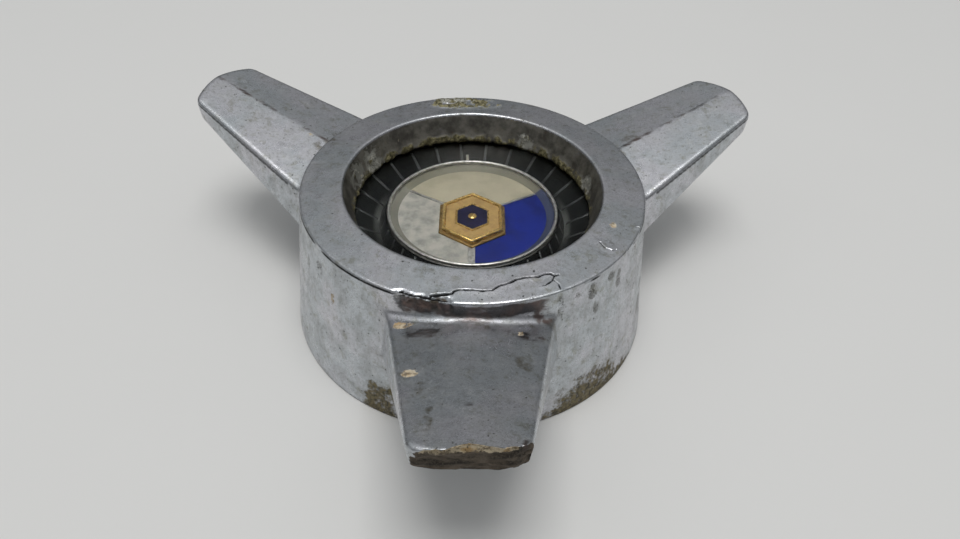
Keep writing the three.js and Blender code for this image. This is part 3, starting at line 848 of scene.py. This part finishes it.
    dull = paint.math("MAXIMUM", paint.math("MAXIMUM", crust, bare), paint.math("MAXIMUM", crack, grime))
    dull = paint.math("MAXIMUM", dull, tan)
    metal = paint.blend(dull, 0.95, 0.0)
    metal = paint.blend(inside, metal, 0.5)
    metal = paint.blend(well, metal, 0.7)
    rough = paint.ramp(paint.math("ADD", patch, paint.math("MULTIPLY", fine, 0.5)), 0.5, 1.1, 0.24, 0.48)
    rough = paint.blend(well, rough, 0.30)
    rough = paint.blend(inside, rough, 0.62)
    rough = paint.blend(paint.math("MAXIMUM", dull, specks), rough, 0.85)
    paint.set(Base_Color=colour, Metallic=metal, Roughness=rough, Specular_IOR_Level=0.3)
    relief = paint.math("ADD", paint.math("MULTIPLY", fine, 0.6), paint.math("MULTIPLY", grain, 0.4))
    relief = paint.math("SUBTRACT", relief, paint.math("MULTIPLY", specks, 0.5))
    paint.bump(relief, 0.06)
    return paint.material


def clear_acrylic():
    """The lens. Its low refractive index keeps reflections off the dial, as in the photograph."""
    paint = Paint("clear_acrylic")
    dust = paint.ramp(paint.noise(6, 3, offset=2.0), 0.5, 0.8, 0.0, 0.02)
    paint.set(
        Base_Color=(0.97, 0.975, 0.97),
        Roughness=dust,
        IOR=1.15,
        Transmission_Weight=1.0,
    )
    return paint.material


def black_gloss():
    """Black dial print with a painted soft grey reflection at both sides of the valley."""
    paint = Paint("black_gloss")
    film = paint.noise(5, 4, offset=4.4)
    colour = paint.mix(paint.ramp(film, 0.4, 0.75), (0.003, 0.004, 0.004), (0.010, 0.012, 0.011))
    # painted reflection: lighter grey where the valley mask is set
    colour = paint.mix(paint.math("MULTIPLY", paint.mask("painted_valley_reflection"), 0.8), colour, (0.10, 0.105, 0.10))
    rough = paint.ramp(film, 0.3, 0.8, 0.3, 0.45)
    paint.set(Base_Color=colour, Roughness=rough, Specular_IOR_Level=0.06)
    return paint.material


def trim(name, light, dark, roughness=0.3):
    """Bright plated trim with slight tarnish."""
    paint = Paint(name)
    tarnish = paint.ramp(paint.noise(1.5, 5, 0.6, offset=9.0), 0.40, 0.72)
    colour = paint.mix(tarnish, light, dark)
    grain = paint.noise(0.25, 3, offset=2.5)
    rough = paint.ramp(tarnish, 0, 1, roughness, roughness + 0.2)
    paint.set(Base_Color=colour, Metallic=0.9, Roughness=rough)
    paint.bump(grain, 0.01)
    return paint.material


def enamel(name, light, dark, cloud=6.0, roughness=0.35):
    """Aged paint with soft clouding and a few specks."""
    paint = Paint(name)
    smudge = paint.ramp(paint.noise(cloud, 5, 0.6, offset=12.0), 0.35, 0.75)
    colour = paint.mix(smudge, light, dark)
    speck = paint.ramp(paint.noise(0.45, 4, 0.7, offset=6.0), 0.68, 0.76, 0.0, 0.4)
    colour = paint.mix(speck, colour, tuple(0.4 * part for part in dark))
    paint.set(
        Base_Color=colour,
        Roughness=paint.ramp(smudge, 0, 1, roughness, roughness + 0.15),
        Specular_IOR_Level=0.25,
    )
    paint.bump(paint.noise(0.8, 3), 0.01)
    return paint.material


def rubber(name, shade):
    """Matt rubber or foam of one grey shade, with a dusty bloom."""
    paint = Paint(name)
    bloom = paint.ramp(paint.noise(3.0, 5, offset=8.0), 0.4, 0.75)
    colour = paint.mix(bloom, (shade, shade, shade), (shade * 2.2, shade * 2.1, shade * 2.0))
    paint.set(Base_Color=colour, Roughness=0.85)
    paint.bump(paint.noise(0.5, 4, 0.7), 0.08)
    return paint.material


def plated_steel():
    """Dull zinc plate with rust spots."""
    paint = Paint("zinc_plated_steel")
    cloud = paint.noise(8, 5, offset=1.0)
    spots = paint.ramp(paint.noise(2.2, 6, 0.65, offset=3.0), 0.56, 0.68)
    base = paint.mix(paint.ramp(cloud, 0.35, 0.7), (0.42, 0.41, 0.36), (0.30, 0.295, 0.27))
    rust = paint.mix(paint.noise(0.8, 4), (0.10, 0.045, 0.02), (0.22, 0.11, 0.05))
    paint.set(
        Base_Color=paint.coat(base, spots, 0.7, rust),
        Metallic=paint.blend(spots, 0.9, 0.2),
        Roughness=paint.blend(spots, paint.ramp(cloud, 0.3, 0.7, 0.32, 0.5), 0.85),
    )
    paint.bump(paint.noise(0.4, 4, 0.65), 0.03)
    return paint.material


# ------------------------------------------------------------------ shapes of the small pieces


def piece(obj, material, slot, *nodes):
    """Gives a finished shape its material and body, and hides the CAD nodes it stands for; the slot is
    not used.
    """
    obj.data.materials.clear()
    obj.data.materials.append(material)
    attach(obj, "root")
    if nodes:
        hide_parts(*nodes)
    return obj


def bridge(mesh, rings):
    """Faces between each closed ring of vertices and the next."""
    for lower, upper in zip(rings, rings[1:]):
        count = len(lower)
        for n in range(count):
            follow = (n + 1) % count
            mesh.faces.new([lower[n], lower[follow], upper[follow], upper[n]])


def levels(name):
    """Bottom and top of a CAD node, in millimetres."""
    low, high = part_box(name)
    return low[2] / MM, high[2] / MM


def from_bmesh(name, mesh):
    """A smooth shaded object from a finished bmesh."""
    data = bpy.data.meshes.new(name)
    bmesh.ops.recalc_face_normals(mesh, faces=mesh.faces)
    mesh.to_mesh(data)
    mesh.free()
    for face in data.polygons:
        face.use_smooth = True
    obj = bpy.data.objects.new(name, data)
    bpy.context.scene.collection.objects.link(obj)
    return obj


def keep_edges_sharp(obj, degrees=35):
    """Shades faces smooth except across edges sharper than the angle."""
    data = obj.data
    mesh = bmesh.new()
    mesh.from_mesh(data)
    for edge in mesh.edges:
        edge.smooth = len(edge.link_faces) == 2 and edge.calc_face_angle() < math.radians(degrees)
    mesh.to_mesh(data)
    mesh.free()
    return obj


def rounded_profile(points, radius, steps=3):
    """The closed outline with each corner cut by a small arc of that radius."""
    outline = []
    count = len(points)
    for index in range(count):
        before, here, after = (np.array(points[(index + d) % count], float) for d in (-1, 0, 1))
        back, ahead = before - here, after - here
        cut = min(radius, 0.45 * np.linalg.norm(back), 0.45 * np.linalg.norm(ahead))
        start = here + back / np.linalg.norm(back) * cut
        end = here + ahead / np.linalg.norm(ahead) * cut
        for step in range(steps + 1):
            t = step / steps
            outline.append(tuple((1 - t) ** 2 * start + 2 * t * (1 - t) * here + t**2 * end))
    return outline


def circle_of(mesh, radius, z, steps):
    """A level ring of vertices round the hub axis."""
    turns = [2 * math.pi * step / steps for step in range(steps)]
    return [mesh.verts.new((radius * MM * math.cos(turn), radius * MM * math.sin(turn), z * MM))
            for turn in turns]


def turned(name, points, steps=160, round_by=0.12, on_axis=False):
    """A body of revolution about +Z from [radius, z] points in millimetres."""
    outline = points if on_axis or not round_by else rounded_profile(points, round_by)
    mesh = bmesh.new()
    rings = []
    for radius, z in outline:
        if radius < 1e-6:
            rings.append([mesh.verts.new((0, 0, z * MM))] * steps)
            continue
        rings.append(circle_of(mesh, radius, z, steps))
    pairs = list(zip(rings, rings[1:])) + ([] if on_axis else [(rings[-1], rings[0])])
    for lower, upper in pairs:
        for step in range(steps):
            follow = (step + 1) % steps
            corners = [lower[step], lower[follow], upper[follow], upper[step]]
            unique = list(dict.fromkeys(corners))
            if len(unique) > 2:
                mesh.faces.new(unique)
    return keep_edges_sharp(from_bmesh(name, mesh))


def bevelled_prism(name, outline, z0, z1, bevel, segments=3, hole=None):
    """An upright plate with the given outline, its top edges rounded, and an optional hole."""
    mesh = bmesh.new()

    def ring(points, z):
        return [mesh.verts.new((x * MM, y * MM, z * MM)) for x, y in points]

    def inset(points, amount):
        centre = np.mean(points, axis=0)
        result = []
        for x, y in points:
            gap = np.array([x, y]) - centre
            length = np.linalg.norm(gap)
            result.append(tuple(centre + gap * (length - amount) / length))
        return result

    def stack(points, direction):
        rings = [ring(points, z0)]
        for step in range(segments + 1):
            turn = 0.5 * math.pi * step / segments
            narrower = inset(points, direction * bevel * (1 - math.cos(turn)))
            rings.append(ring(narrower, z1 - bevel + bevel * math.sin(turn)))
        return rings

    outer = stack(outline, 1)
    bridge(mesh, outer)
    if hole is None:
        mesh.faces.new(outer[-1])
        mesh.faces.new(outer[0])
    else:
        inner = stack(hole, -1)
        bridge(mesh, inner)
        for level in (0, -1):
            count = len(outline)
            for n in range(count):
                follow = (n + 1) % count
                mesh.faces.new([outer[level][n], outer[level][follow],
                                inner[level][follow], inner[level][n]])
    return keep_edges_sharp(from_bmesh(name, mesh), 30)


def moved(obj, x, y):
    """The object with its mesh shifted sideways, in millimetres."""
    obj.data.transform(Matrix.Translation((x * MM, y * MM, 0)))
    return obj


def hexagon(radius):
    """The emblem's outline: a hexagon with corners towards +Y and -Y, stretched along Y."""
    turns = [math.radians(90 + 60 * side) for side in range(6)]
    return [(radius * math.cos(turn), EMBLEM_Y + EMBLEM_STRETCH * radius * math.sin(turn))
            for turn in turns]


def joined(name, objects):
    """One object from several, keeping their meshes."""
    mesh = bmesh.new()
    for obj in objects:
        mesh.from_mesh(obj.data)
        bpy.data.objects.remove(obj)
    return keep_edges_sharp(from_bmesh(name, mesh))


# ------------------------------------------------------------------ medallion pack

def build_lens(material):
    """The clear disc, its edges chamfered."""
    radius = LENS_HIGH[0]
    profile = [(0, LENS_LOW[2]), (radius - 0.2, LENS_LOW[2]), (radius, LENS_LOW[2] + 0.2),
               (radius, LENS_HIGH[2] - 0.2), (radius - 0.2, LENS_HIGH[2]), (0, LENS_HIGH[2])]
    obj = turned("lens_window", profile, on_axis=True)
    piece(obj, material, "clear_acrylic", "lens")


def build_dial(material):
    """The black cone, its land under the gasket, and the steep wall up to the dish."""
    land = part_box("lens_gasket")[0][2] / MM - 0.1
    profile = [
        (DIAL_BORE, DIAL_LOW[2]), (DIAL_HIGH[0], DIAL_LOW[2]), (DIAL_HIGH[0], land),
        (DIAL_LIP[0] + 0.4, land), (DIAL_LIP[0] + 0.4, DIAL_LIP[1]), DIAL_LIP,
        along(DIAL_VALLEY, DIAL_LIP, 0.3), along(DIAL_VALLEY, DIAL_LIP, 0.12),
        DIAL_VALLEY, (DIAL_BORE + 0.1, RIM_Z), (DIAL_BORE, RIM_Z),
    ]
    obj = turned("dial_face", profile, round_by=0.25)
    points = vertex_positions(obj)
    radius = np.hypot(points[:, 0], points[:, 1])
    # painted reflection: a soft band along the valley at the left and right sides
    painted_valley_reflection = 1 - ramp(np.abs(radius - DIAL_VALLEY[0] - 0.6), 0.3, 1.3)
    painted_valley_reflection *= 1 - ramp(np.abs(points[:, 1] / radius), 0.1, 0.55)
    store_mask(obj, "painted_valley_reflection", painted_valley_reflection)
    piece(obj, material, "black_gloss", "dial_ring")


def ray(mesh, degrees, start, end, width, lift):
    """A flat foil strip from one [radius, z] point to another, along a radius."""
    turn = math.radians(degrees)
    out = np.array([math.cos(turn), math.sin(turn), 0])
    across = np.array([-math.sin(turn), math.cos(turn), 0])
    slope = np.array([end[0] - start[0], end[1] - start[1]], float)
    slope /= np.linalg.norm(slope)
    up = -slope[1] * out + slope[0] * np.array([0, 0, 1])
    if up[2] < 0:
        up = -up
    corners = []
    for radius, z in (start, end):
        middle = out * radius + np.array([0, 0, z])
        for side in (-1, 1):
            for height in (-0.05, lift):
                corners.append(mesh.verts.new((middle + across * side * width / 2 + up * height) * MM))
    for quad in ((0, 1, 3, 2), (4, 6, 7, 5), (0, 4, 5, 1), (2, 3, 7, 6), (1, 5, 7, 3), (0, 2, 6, 4)):
        mesh.faces.new([corners[n] for n in quad])


def along(first, last, t):
    """The point a share t of the way from first to last."""
    return tuple(a + (b - a) * t for a, b in zip(first, last))


def build_rays(material, tick_paint):
    """Foil rays on the dial's cone and wall, and the one bright tick at the back."""
    lip, valley, rim = DIAL_LIP, DIAL_VALLEY, (DIAL_BORE + 0.1, RIM_Z)
    mesh = bmesh.new()
    for n in range(CONE_RAYS):
        degrees = 90 + 360 / CONE_RAYS * (n + 0.5)
        ray(mesh, degrees, along(lip, valley, 0.05), along(lip, valley, 0.93), 0.75, 0.03)
    for n in range(WALL_RAYS):
        degrees = 270 + 360 / WALL_RAYS * (n + 0.5)
        ray(mesh, degrees, along(rim, valley, 0.06), along(rim, valley, 0.85), 0.6, 0.03)
    obj = from_bmesh("dial_rays", mesh)
    piece(obj, material, "silver_trim")
    mesh = bmesh.new()
    ray(mesh, BRIGHT_TICK, along(lip, valley, 0.45), along(lip, valley, 0.95), 0.7, 0.05)
    ray(mesh, BRIGHT_TICK, along(rim, valley, 0.06), along(rim, valley, 0.85), 0.7, 0.05)
    piece(from_bmesh("dial_tick", mesh), tick_paint, "silver_trim")


def build_dish(material):
    """The metal dish that holds the fields, and the bead round its rim."""
    top, bottom = DISH_WALL_TOP, DISH_WALL_BOTTOM
    profile = [(0, DISH_LOW[2]), (DISH_HIGH[0], DISH_LOW[2]), (DISH_HIGH[0], RIM_Z - 0.1),
               (DISH_HIGH[0] - 0.1, RIM_Z), (top + 0.1, RIM_Z), (top, RIM_Z - 0.1),
               (bottom, INLAY_HIGH[2] - 0.05), (bottom, INLAY_LOW[2] - 0.1), (0, INLAY_LOW[2] - 0.1)]
    piece(turned("dish", profile, on_axis=True), material, "silver_trim", "medallion_dish")
    low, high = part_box("bead_ring")
    section = (high[2] - low[2]) / MM / 2
    middle = (high[2] + low[2]) / MM / 2
    radius = high[0] / MM - section
    circle = [(radius + section * math.cos(t), middle + section * math.sin(t))
              for t in np.linspace(0, 2 * math.pi, 16, endpoint=False)]
    piece(turned("bead", circle, round_by=0), material, "silver_trim", "bead_ring")


def coved_wall(name, start, end):
    """The painted side of the dish between two angles, curving up from the fields to the bead."""
    low_radius, top_radius = 18.7, 20.65
    low_z, top_z = INLAY_HIGH[2] + 0.01, RIM_Z + 0.05
    mesh = bmesh.new()
    columns = []
    for turn in np.radians(np.linspace(start, end, 73)):
        column = []
        for t in np.linspace(0, 1, 9):
            radius = low_radius + (top_radius - low_radius) * t
            z = low_z + (top_z - low_z) * (0.75 * t + 0.25 * t * t) + 0.22 * t * (1 - t)
            column.append((radius, z))
        column += [(radius + 0.04, z - 0.06) for radius, z in reversed(column)]
        across = (math.cos(turn), math.sin(turn))
        columns.append([mesh.verts.new((r * across[0] * MM, r * across[1] * MM, z * MM))
                        for r, z in column])
    count = len(columns[0])
    for first, second in zip(columns, columns[1:]):
        for n in range(count):
            follow = (n + 1) % count
            mesh.faces.new([first[n], second[n], second[follow], first[follow]])
    mesh.faces.new(columns[0])
    mesh.faces.new(columns[-1])
    return keep_edges_sharp(from_bmesh(name, mesh))


def build_coves(paints):
    """Each field's colour carried up the side of the dish, in a darker copy that paints the shade on the
    slope.
    """
    for name, start, end in FIELDS:
        piece(coved_wall(f"{name}_cove", start, end), paints[name], f"{name}_enamel")


def inlay_outline(start_angle, end_angle):
    """Outline of the field between two dividers: a corner near the centre and an arc."""
    starts = math.radians(start_angle)
    ends = math.radians(end_angle)
    offset_start = DIVIDERS[start_angle % 360] / 2 + DIVIDER_GAP
    offset_end = DIVIDERS[end_angle % 360] / 2 + DIVIDER_GAP
    first = np.array([math.cos(starts), math.sin(starts)])
    last = np.array([math.cos(ends), math.sin(ends)])
    on_first = offset_start * np.array([-first[1], first[0]])
    on_last = -offset_end * np.array([-last[1], last[0]])
    normal = np.array([-last[1], last[0]])
    corner = on_first + first * (normal @ (on_last - on_first)) / (normal @ first)
    arc = np.linspace(starts + math.asin(offset_start / INLAY_RADIUS),
                      ends - math.asin(offset_end / INLAY_RADIUS), 48)
    return [tuple(corner)] + [(INLAY_RADIUS * math.cos(t), INLAY_RADIUS * math.sin(t)) for t in arc]


def build_inlays(finishes, silver):
    """The three painted fields and the bars between them."""
    for name, start, end in FIELDS:
        node = f"inlay_{name}"
        obj = bevelled_prism(f"{name}_field", inlay_outline(start, end), *levels(node), 0.06)
        piece(obj, finishes[name], f"{name}_enamel", node)
    low, high = levels("divider_spider")
    bars = []
    for angle, width in DIVIDERS.items():
        turn = math.radians(angle)
        out = np.array([math.cos(turn), math.sin(turn)])
        across = np.array([-out[1], out[0]]) * width / 2
        ends = [-across, out * INLAY_RADIUS - across, out * INLAY_RADIUS + across, across]
        bars.append(bevelled_prism(f"bar_{angle}", [tuple(p) for p in ends], low, high + 0.03, 0.06))
    piece(joined("divider_bars", bars), silver, "silver_trim", "divider_spider")


def hexagon_radius(name):
    """Corner radius of a hexagonal CAD node."""
    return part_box(name)[1][0] / MM / math.cos(math.radians(30))


def build_emblem(gold, shaded_gold, tan, navy):
    """A plain six-sided boss: gold frame, tan band, navy middle and a gold pip."""
    radius = hexagon_radius("emblem_base")
    low, high = levels("emblem_base")
    base = bevelled_prism("emblem_plinth", hexagon(radius), low, high, 0.1)
    piece(base, gold, "gold_plate", "emblem_base")
    # a sloped skirt round the plinth's foot, in a darker gold that paints the shade round the emblem
    skirt = bevelled_prism("emblem_skirt", hexagon(radius + 0.9), INLAY_HIGH[2] + 0.05, high - 0.05,
                           0.3, 4, hexagon(radius - 0.5))
    piece(skirt, shaded_gold, "gold_plate")
    rim = bevelled_prism("emblem_rim", hexagon(radius), *levels("emblem_frame"), 0.35, 4,
                         hexagon(radius - 0.9))
    piece(rim, gold, "gold_plate", "emblem_frame")
    low, high = levels("emblem_field")
    core_radius = hexagon_radius("emblem_core")
    core_low, core_high = levels("emblem_core")
    band = bevelled_prism("emblem_band", hexagon(hexagon_radius("emblem_field")), low, high, 0.06, 2,
                          hexagon(core_radius + 0.55))
    piece(band, tan, "tan_enamel", "emblem_field")
    edge = bevelled_prism("emblem_line", hexagon(core_radius + 0.5), low, core_high + 0.05, 0.12, 3,
                          hexagon(core_radius))
    piece(edge, gold, "gold_plate")
    core = bevelled_prism("emblem_middle", hexagon(core_radius - 0.05), core_low, core_high, 0.06)
    piece(core, navy, "navy_enamel", "emblem_core")
    build_pip(gold)


def build_pip(gold):
    """The small dome in the middle of the emblem."""
    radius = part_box("emblem_pip")[1][0] / MM
    low, high = levels("emblem_pip")
    dome = [(0, low)]
    for turn in np.linspace(0, 0.5 * math.pi, 9)[:-1]:
        dome.append((radius * math.cos(turn), low + (high - low) * math.sin(turn)))
    dome.append((0, high))
    stud = moved(turned("emblem_stud", dome, 32, on_axis=True), 0, EMBLEM_Y)
    piece(stud, gold, "gold_plate", "emblem_pip")


# ------------------------------------------------------------------ gasket, pad, plate and screws

def extent(name):
    """Centre, outer radius, bottom and top of a round CAD node, in millimetres."""
    low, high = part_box(name)
    centre = ((low[0] + high[0]) / 2 / MM, (low[1] + high[1]) / 2 / MM)
    return centre, (high[0] - low[0]) / 2 / MM, low[2] / MM, high[2] / MM


def cut_away(obj, cutters):
    """Cuts the closed cutter shapes out of the object and removes them."""
    for cutter in cutters:
        step = obj.modifiers.new("cut", "BOOLEAN")
        step.operation = "DIFFERENCE"
        step.solver = "EXACT"
        step.object = cutter
    graph = bpy.context.evaluated_depsgraph_get()
    obj.data = bpy.data.meshes.new_from_object(obj.evaluated_get(graph))
    obj.modifiers.clear()
    for cutter in cutters:
        bpy.data.objects.remove(cutter)
    return keep_edges_sharp(obj)


def post(radius, x, y, z0, z1):
    """A plain round cutter."""
    profile = [(0, z0), (radius, z0), (radius, z1), (0, z1)]
    return moved(turned("cutter", profile, 48, on_axis=True), x, y)


def build_gasket(material):
    """The soft ring between lens and dial."""
    low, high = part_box("lens_gasket")
    outer, inner, z0, z1 = high[0] / MM, GASKET_BORE, low[2] / MM, high[2] / MM
    profile = [(inner, z0), (outer, z0), (outer, z1), (inner, z1)]
    piece(turned("gasket_ring", profile, round_by=0.3), material, "black_rubber", "lens_gasket")


def build_foam_pad(material):
    """A soft disc, crowned on both faces, with a bulging rim."""
    _, radius, z0, z1 = extent("foam_pad")
    middle, half = (z0 + z1) / 2, (z1 - z0) / 2
    face = [(radius * t, half * (1 - 0.12 * t * t)) for t in np.linspace(0, 0.955, 10)]
    rim = [(radius * (0.955 + 0.045 * math.cos(turn)), 0.89 * half * math.sin(turn))
           for turn in np.linspace(math.pi / 2, -math.pi / 2, 11)[1:-1]]
    outline = face + rim + [(r, -z) for r, z in reversed(face)]
    obj = turned("foam_disc", [(r, middle + z) for r, z in outline], on_axis=True)
    piece(obj, material, "grey_foam", "foam_pad")


def build_backing_plate(material):
    """A pressed plate with a rolled rim and one raised stiffening rib."""
    _, radius, z0, z1 = extent("backing_plate")
    rib = [(PLATE_RIB_RADIUS + 2.6 * t, z0 + 0.28 * math.sin(math.pi * t))
           for t in np.linspace(0, 1, 9)]
    rim = [(radius - 0.4 + 0.4 * math.cos(turn), (z0 + z1) / 2 + (z1 - z0) / 2 * math.sin(turn))
           for turn in np.linspace(-math.pi / 2, math.pi / 2, 9)]
    obj = turned("rear_plate", [(0, z0)] + rib + rim + [(0, z1)], on_axis=True)
    cutters = []
    for angle in BOSS_ANGLES:
        turn = math.radians(angle)
        x, y = BOSS_CIRCLE * math.cos(turn), BOSS_CIRCLE * math.sin(turn)
        cutters.append(post(PLATE_NOTCH, x, y, z0 - 1, z1 + 1))
    for number in (1, 2, 3):
        (x, y), _, _, _ = extent(f"retainer_screw_{number}")
        cutters.append(post(SCREW_HOLE_RADIUS, x, y, z0 - 1, z1 + 1))
    piece(cut_away(obj, cutters), material, "zinc_plated_steel", "backing_plate")


def threaded_rod(name, radius, z0, z1, steps=36):
    """A rod with a real helical thread and a blunt cone tip at the top."""
    mesh = bmesh.new()
    rings = []
    for z in np.arange(z0, z1 + 1e-6, THREAD_PITCH / 6):
        taper = min(1.0, 0.35 + (z1 - z) / 1.8)
        ring = []
        for step in range(steps):
            phase = (z / THREAD_PITCH - step / steps) % 1
            size = (radius - THREAD_DEPTH * 2 * min(phase, 1 - phase)) * taper
            turn = 2 * math.pi * step / steps
            x, y = size * math.cos(turn), size * math.sin(turn)
            ring.append(mesh.verts.new((x * MM, y * MM, z * MM)))
        rings.append(ring)
    bridge(mesh, rings)
    mesh.faces.new(rings[0])
    mesh.faces.new(rings[-1])
    return from_bmesh(name, mesh)


def build_screw(number, material):
    """A pan head screw with its slotted head to the rear."""
    node = f"retainer_screw_{number}"
    (x, y), head, z0, z1 = extent(node)
    under_head = z0 + SCREW_HEAD_HEIGHT
    dome = [(head * math.sin(turn), under_head - 0.3 - 1.5 * math.cos(turn))
            for turn in np.linspace(0, math.pi / 2, 9)]
    cap = turned("cap", [(0, z0)] + dome[1:] + [(head, under_head), (0, under_head)], 48, on_axis=True)
    slot = bmesh.new()
    bmesh.ops.create_cube(slot, size=1)
    bmesh.ops.scale(slot, vec=(3 * head * MM, SCREW_SLOT * MM, 1.6 * MM), verts=slot.verts)
    bmesh.ops.translate(slot, vec=(0, 0, z0 * MM), verts=slot.verts)
    cap = cut_away(cap, [from_bmesh("slot", slot)])
    rod = threaded_rod("rod", SCREW_SHANK, under_head - 0.05, z1)
    obj = moved(joined(f"pan_screw_{number}", [cap, rod]), x, y)
    piece(obj, material, "zinc_plated_steel", node)


def build_lock_washer(number, material, steps=60):
    """A split ring, its two ends slightly sprung apart along Z."""
    node = f"lock_washer_{number}"
    (x, y), outer, z0, z1 = extent(node)
    half_gap = WASHER_SPLIT / 2 / outer
    mesh = bmesh.new()
    rings = []
    for step in range(steps + 1):
        t = step / steps
        turn = half_gap + (2 * math.pi - 2 * half_gap) * t
        lift = WASHER_SPRING * t
        section = [(WASHER_HOLE, z0 + lift), (outer, z0 + lift),
                   (outer, z1 - WASHER_SPRING + lift), (WASHER_HOLE, z1 - WASHER_SPRING + lift)]
        ring = []
        for r, z in rounded_profile(section, 0.12, 2):
            corner_x, corner_y = x + r * math.cos(turn), y + r * math.sin(turn)
            ring.append(mesh.verts.new((corner_x * MM, corner_y * MM, z * MM)))
        rings.append(ring)
    bridge(mesh, rings)
    mesh.faces.new(rings[0])
    mesh.faces.new(rings[-1])
    washer = keep_edges_sharp(from_bmesh(f"split_washer_{number}", mesh))
    piece(washer, material, "zinc_plated_steel", node)


# ------------------------------------------------------------------ floor, light and camera


def area_light(name, position, size, power, colour):
    """A soft rectangular lamp that points at the part."""
    data = bpy.data.lights.new(name, "AREA")
    data.shape = "RECTANGLE"
    data.size, data.size_y = size
    data.energy = power
    data.color = colour
    obj = bpy.data.objects.new(name, data)
    obj.location = position
    direction = Vector((0, 0, 20 * MM)) - Vector(position)
    obj.rotation_euler = direction.to_track_quat("-Z", "Y").to_euler()
    bpy.context.scene.collection.objects.link(obj)


def build_floor():
    """Pale paper, a hair below the base so that the two don't share a plane."""
    mesh = bmesh.new()
    bmesh.ops.create_grid(mesh, x_segments=1, y_segments=1, size=2.0)
    floor = from_bmesh("floor", mesh)
    paint = Paint("pale_paper")
    tone = paint.noise(60, 3)
    paint.set(
        Base_Color=paint.mix(tone, (0.72, 0.72, 0.71), (0.735, 0.735, 0.725)),
        Roughness=0.85,
        Specular_IOR_Level=0.2,
    )
    floor.data.materials.append(paint.material)
    floor.location.z = -0.02 * MM


def build_lights():
    """A dim room under a bright ceiling, a large soft lamp overhead and a weak one at the left."""
    world = bpy.data.worlds.new("studio")
    bpy.context.scene.world = world
    world.use_nodes = True
    nodes, links = world.node_tree.nodes, world.node_tree.links
    direction = nodes.new("ShaderNodeTexCoord").outputs["Generated"]
    split = nodes.new("ShaderNodeSeparateXYZ")
    links.new(direction, split.inputs[0])
    height = nodes.new("ShaderNodeMapRange")
    height.interpolation_type = "SMOOTHSTEP"
    links.new(split.outputs["Z"], height.inputs["Value"])
    for name, number in (("From Min", 0.2), ("From Max", 1.0), ("To Min", 0.0), ("To Max", 1.0)):
        height.inputs[name].default_value = number
    shade = nodes.new("ShaderNodeMix")
    shade.data_type = "RGBA"
    links.new(height.outputs["Result"], shade.inputs[0])
    shade.inputs[6].default_value = (*WALL_GLOW, 1)
    shade.inputs[7].default_value = (*CEILING_GLOW, 1)
    links.new(shade.outputs[2], nodes["Background"].inputs["Color"])
    area_light("ceiling_light", (0.0, -0.15, 1.5), (0.8, 0.8), 11.5, (1.0, 0.99, 0.975))
    area_light("window_light", (-1.1, -0.35, 1.1), (0.5, 0.7), 0.3, (0.97, 0.985, 1.0))


def build_camera():
    """The camera stands in front of the front ear and looks down at the hub."""
    hub_top = Vector((0, 0, HUB_HEIGHT * MM))
    back = Vector((0, -math.cos(CAMERA_ELEVATION), math.sin(CAMERA_ELEVATION)))
    right = Vector((1, 0, 0))
    up = back.cross(right)
    rolled_right = math.cos(CAMERA_ROLL) * right + math.sin(CAMERA_ROLL) * up
    rolled_up = back.cross(rolled_right)
    level = Matrix((rolled_right, rolled_up, back)).transposed()
    aim = Vector((0, 0, -1)).rotation_difference(CAMERA_AIM.normalized()).to_matrix()
    data = bpy.data.cameras.new("camera")
    data.lens = CAMERA_LENS
    data.sensor_width = 36
    data.clip_start = 0.01
    data.clip_end = 20
    camera = bpy.data.objects.new("camera", data)
    place = Matrix.Translation(hub_top + CAMERA_DISTANCE * back) @ (level @ aim.transposed()).to_4x4()
    camera.matrix_world = Matrix.Rotation(-CAMERA_TURN, 4, "Z") @ place
    bpy.context.scene.collection.objects.link(camera)
    bpy.context.scene.camera = camera


# ------------------------------------------------------------------ assembly


def build_all():
    """Studio, materials and every piece of the part."""
    bpy.context.scene.view_settings.view_transform = "Standard"
    build_camera()
    build_lights()
    build_floor()
    chrome = worn_chrome()
    silver = trim("silver_trim", (0.66, 0.65, 0.62), (0.38, 0.37, 0.34))
    foil = enamel("ray_print", (0.085, 0.09, 0.09), (0.03, 0.034, 0.034), 5.0, 0.5)
    gold = trim("gold_plate", (0.90, 0.62, 0.22), (0.42, 0.26, 0.08), 0.24)
    steel = plated_steel()
    enamels = {
        "cream": enamel("cream_enamel", (0.52, 0.475, 0.35), (0.42, 0.38, 0.275)),
        "white": enamel("white_enamel", (0.54, 0.52, 0.465), (0.27, 0.27, 0.245), 3.5),
        "blue": enamel("blue_enamel", (0.004, 0.019, 0.25), (0.003, 0.012, 0.15)),
    }
    piece(build_casting_skin(), chrome, "worn_chrome", "spinner_casting")
    build_lens(clear_acrylic())
    build_dial(black_gloss())
    build_rays(foil, enamel("tick_print", (0.44, 0.42, 0.35), (0.26, 0.25, 0.21), 3.0, 0.5))
    build_dish(silver)
    build_inlays(enamels, silver)
    # darker copies of the field colours: painted shade on the dish's sloping side
    build_coves({
        "cream": enamel("cream_cove", (0.235, 0.22, 0.165), (0.19, 0.18, 0.135), 8.0),
        "white": enamel("white_cove", (0.26, 0.25, 0.21), (0.20, 0.195, 0.165), 8.0),
        "blue": enamel("blue_cove", (0.06, 0.075, 0.14), (0.04, 0.05, 0.10), 8.0),
    })
    # a darker copy of the gold plate: painted shade on the skirt round the emblem
    shaded_gold = trim("gold_skirt_painted_shade", (0.40, 0.26, 0.09), (0.20, 0.13, 0.055), 0.4)
    build_emblem(gold, shaded_gold, enamel("tan_enamel", (0.56, 0.37, 0.14), (0.42, 0.26, 0.10), 2.0),
                 enamel("navy_enamel", (0.014, 0.012, 0.055), (0.008, 0.007, 0.03), 2.0))
    build_gasket(rubber("black_rubber", 0.012))
    build_foam_pad(rubber("grey_foam", 0.03))
    build_backing_plate(steel)
    for number in (1, 2, 3):
        build_screw(number, steel)
        build_lock_washer(number, steel)


build_all()
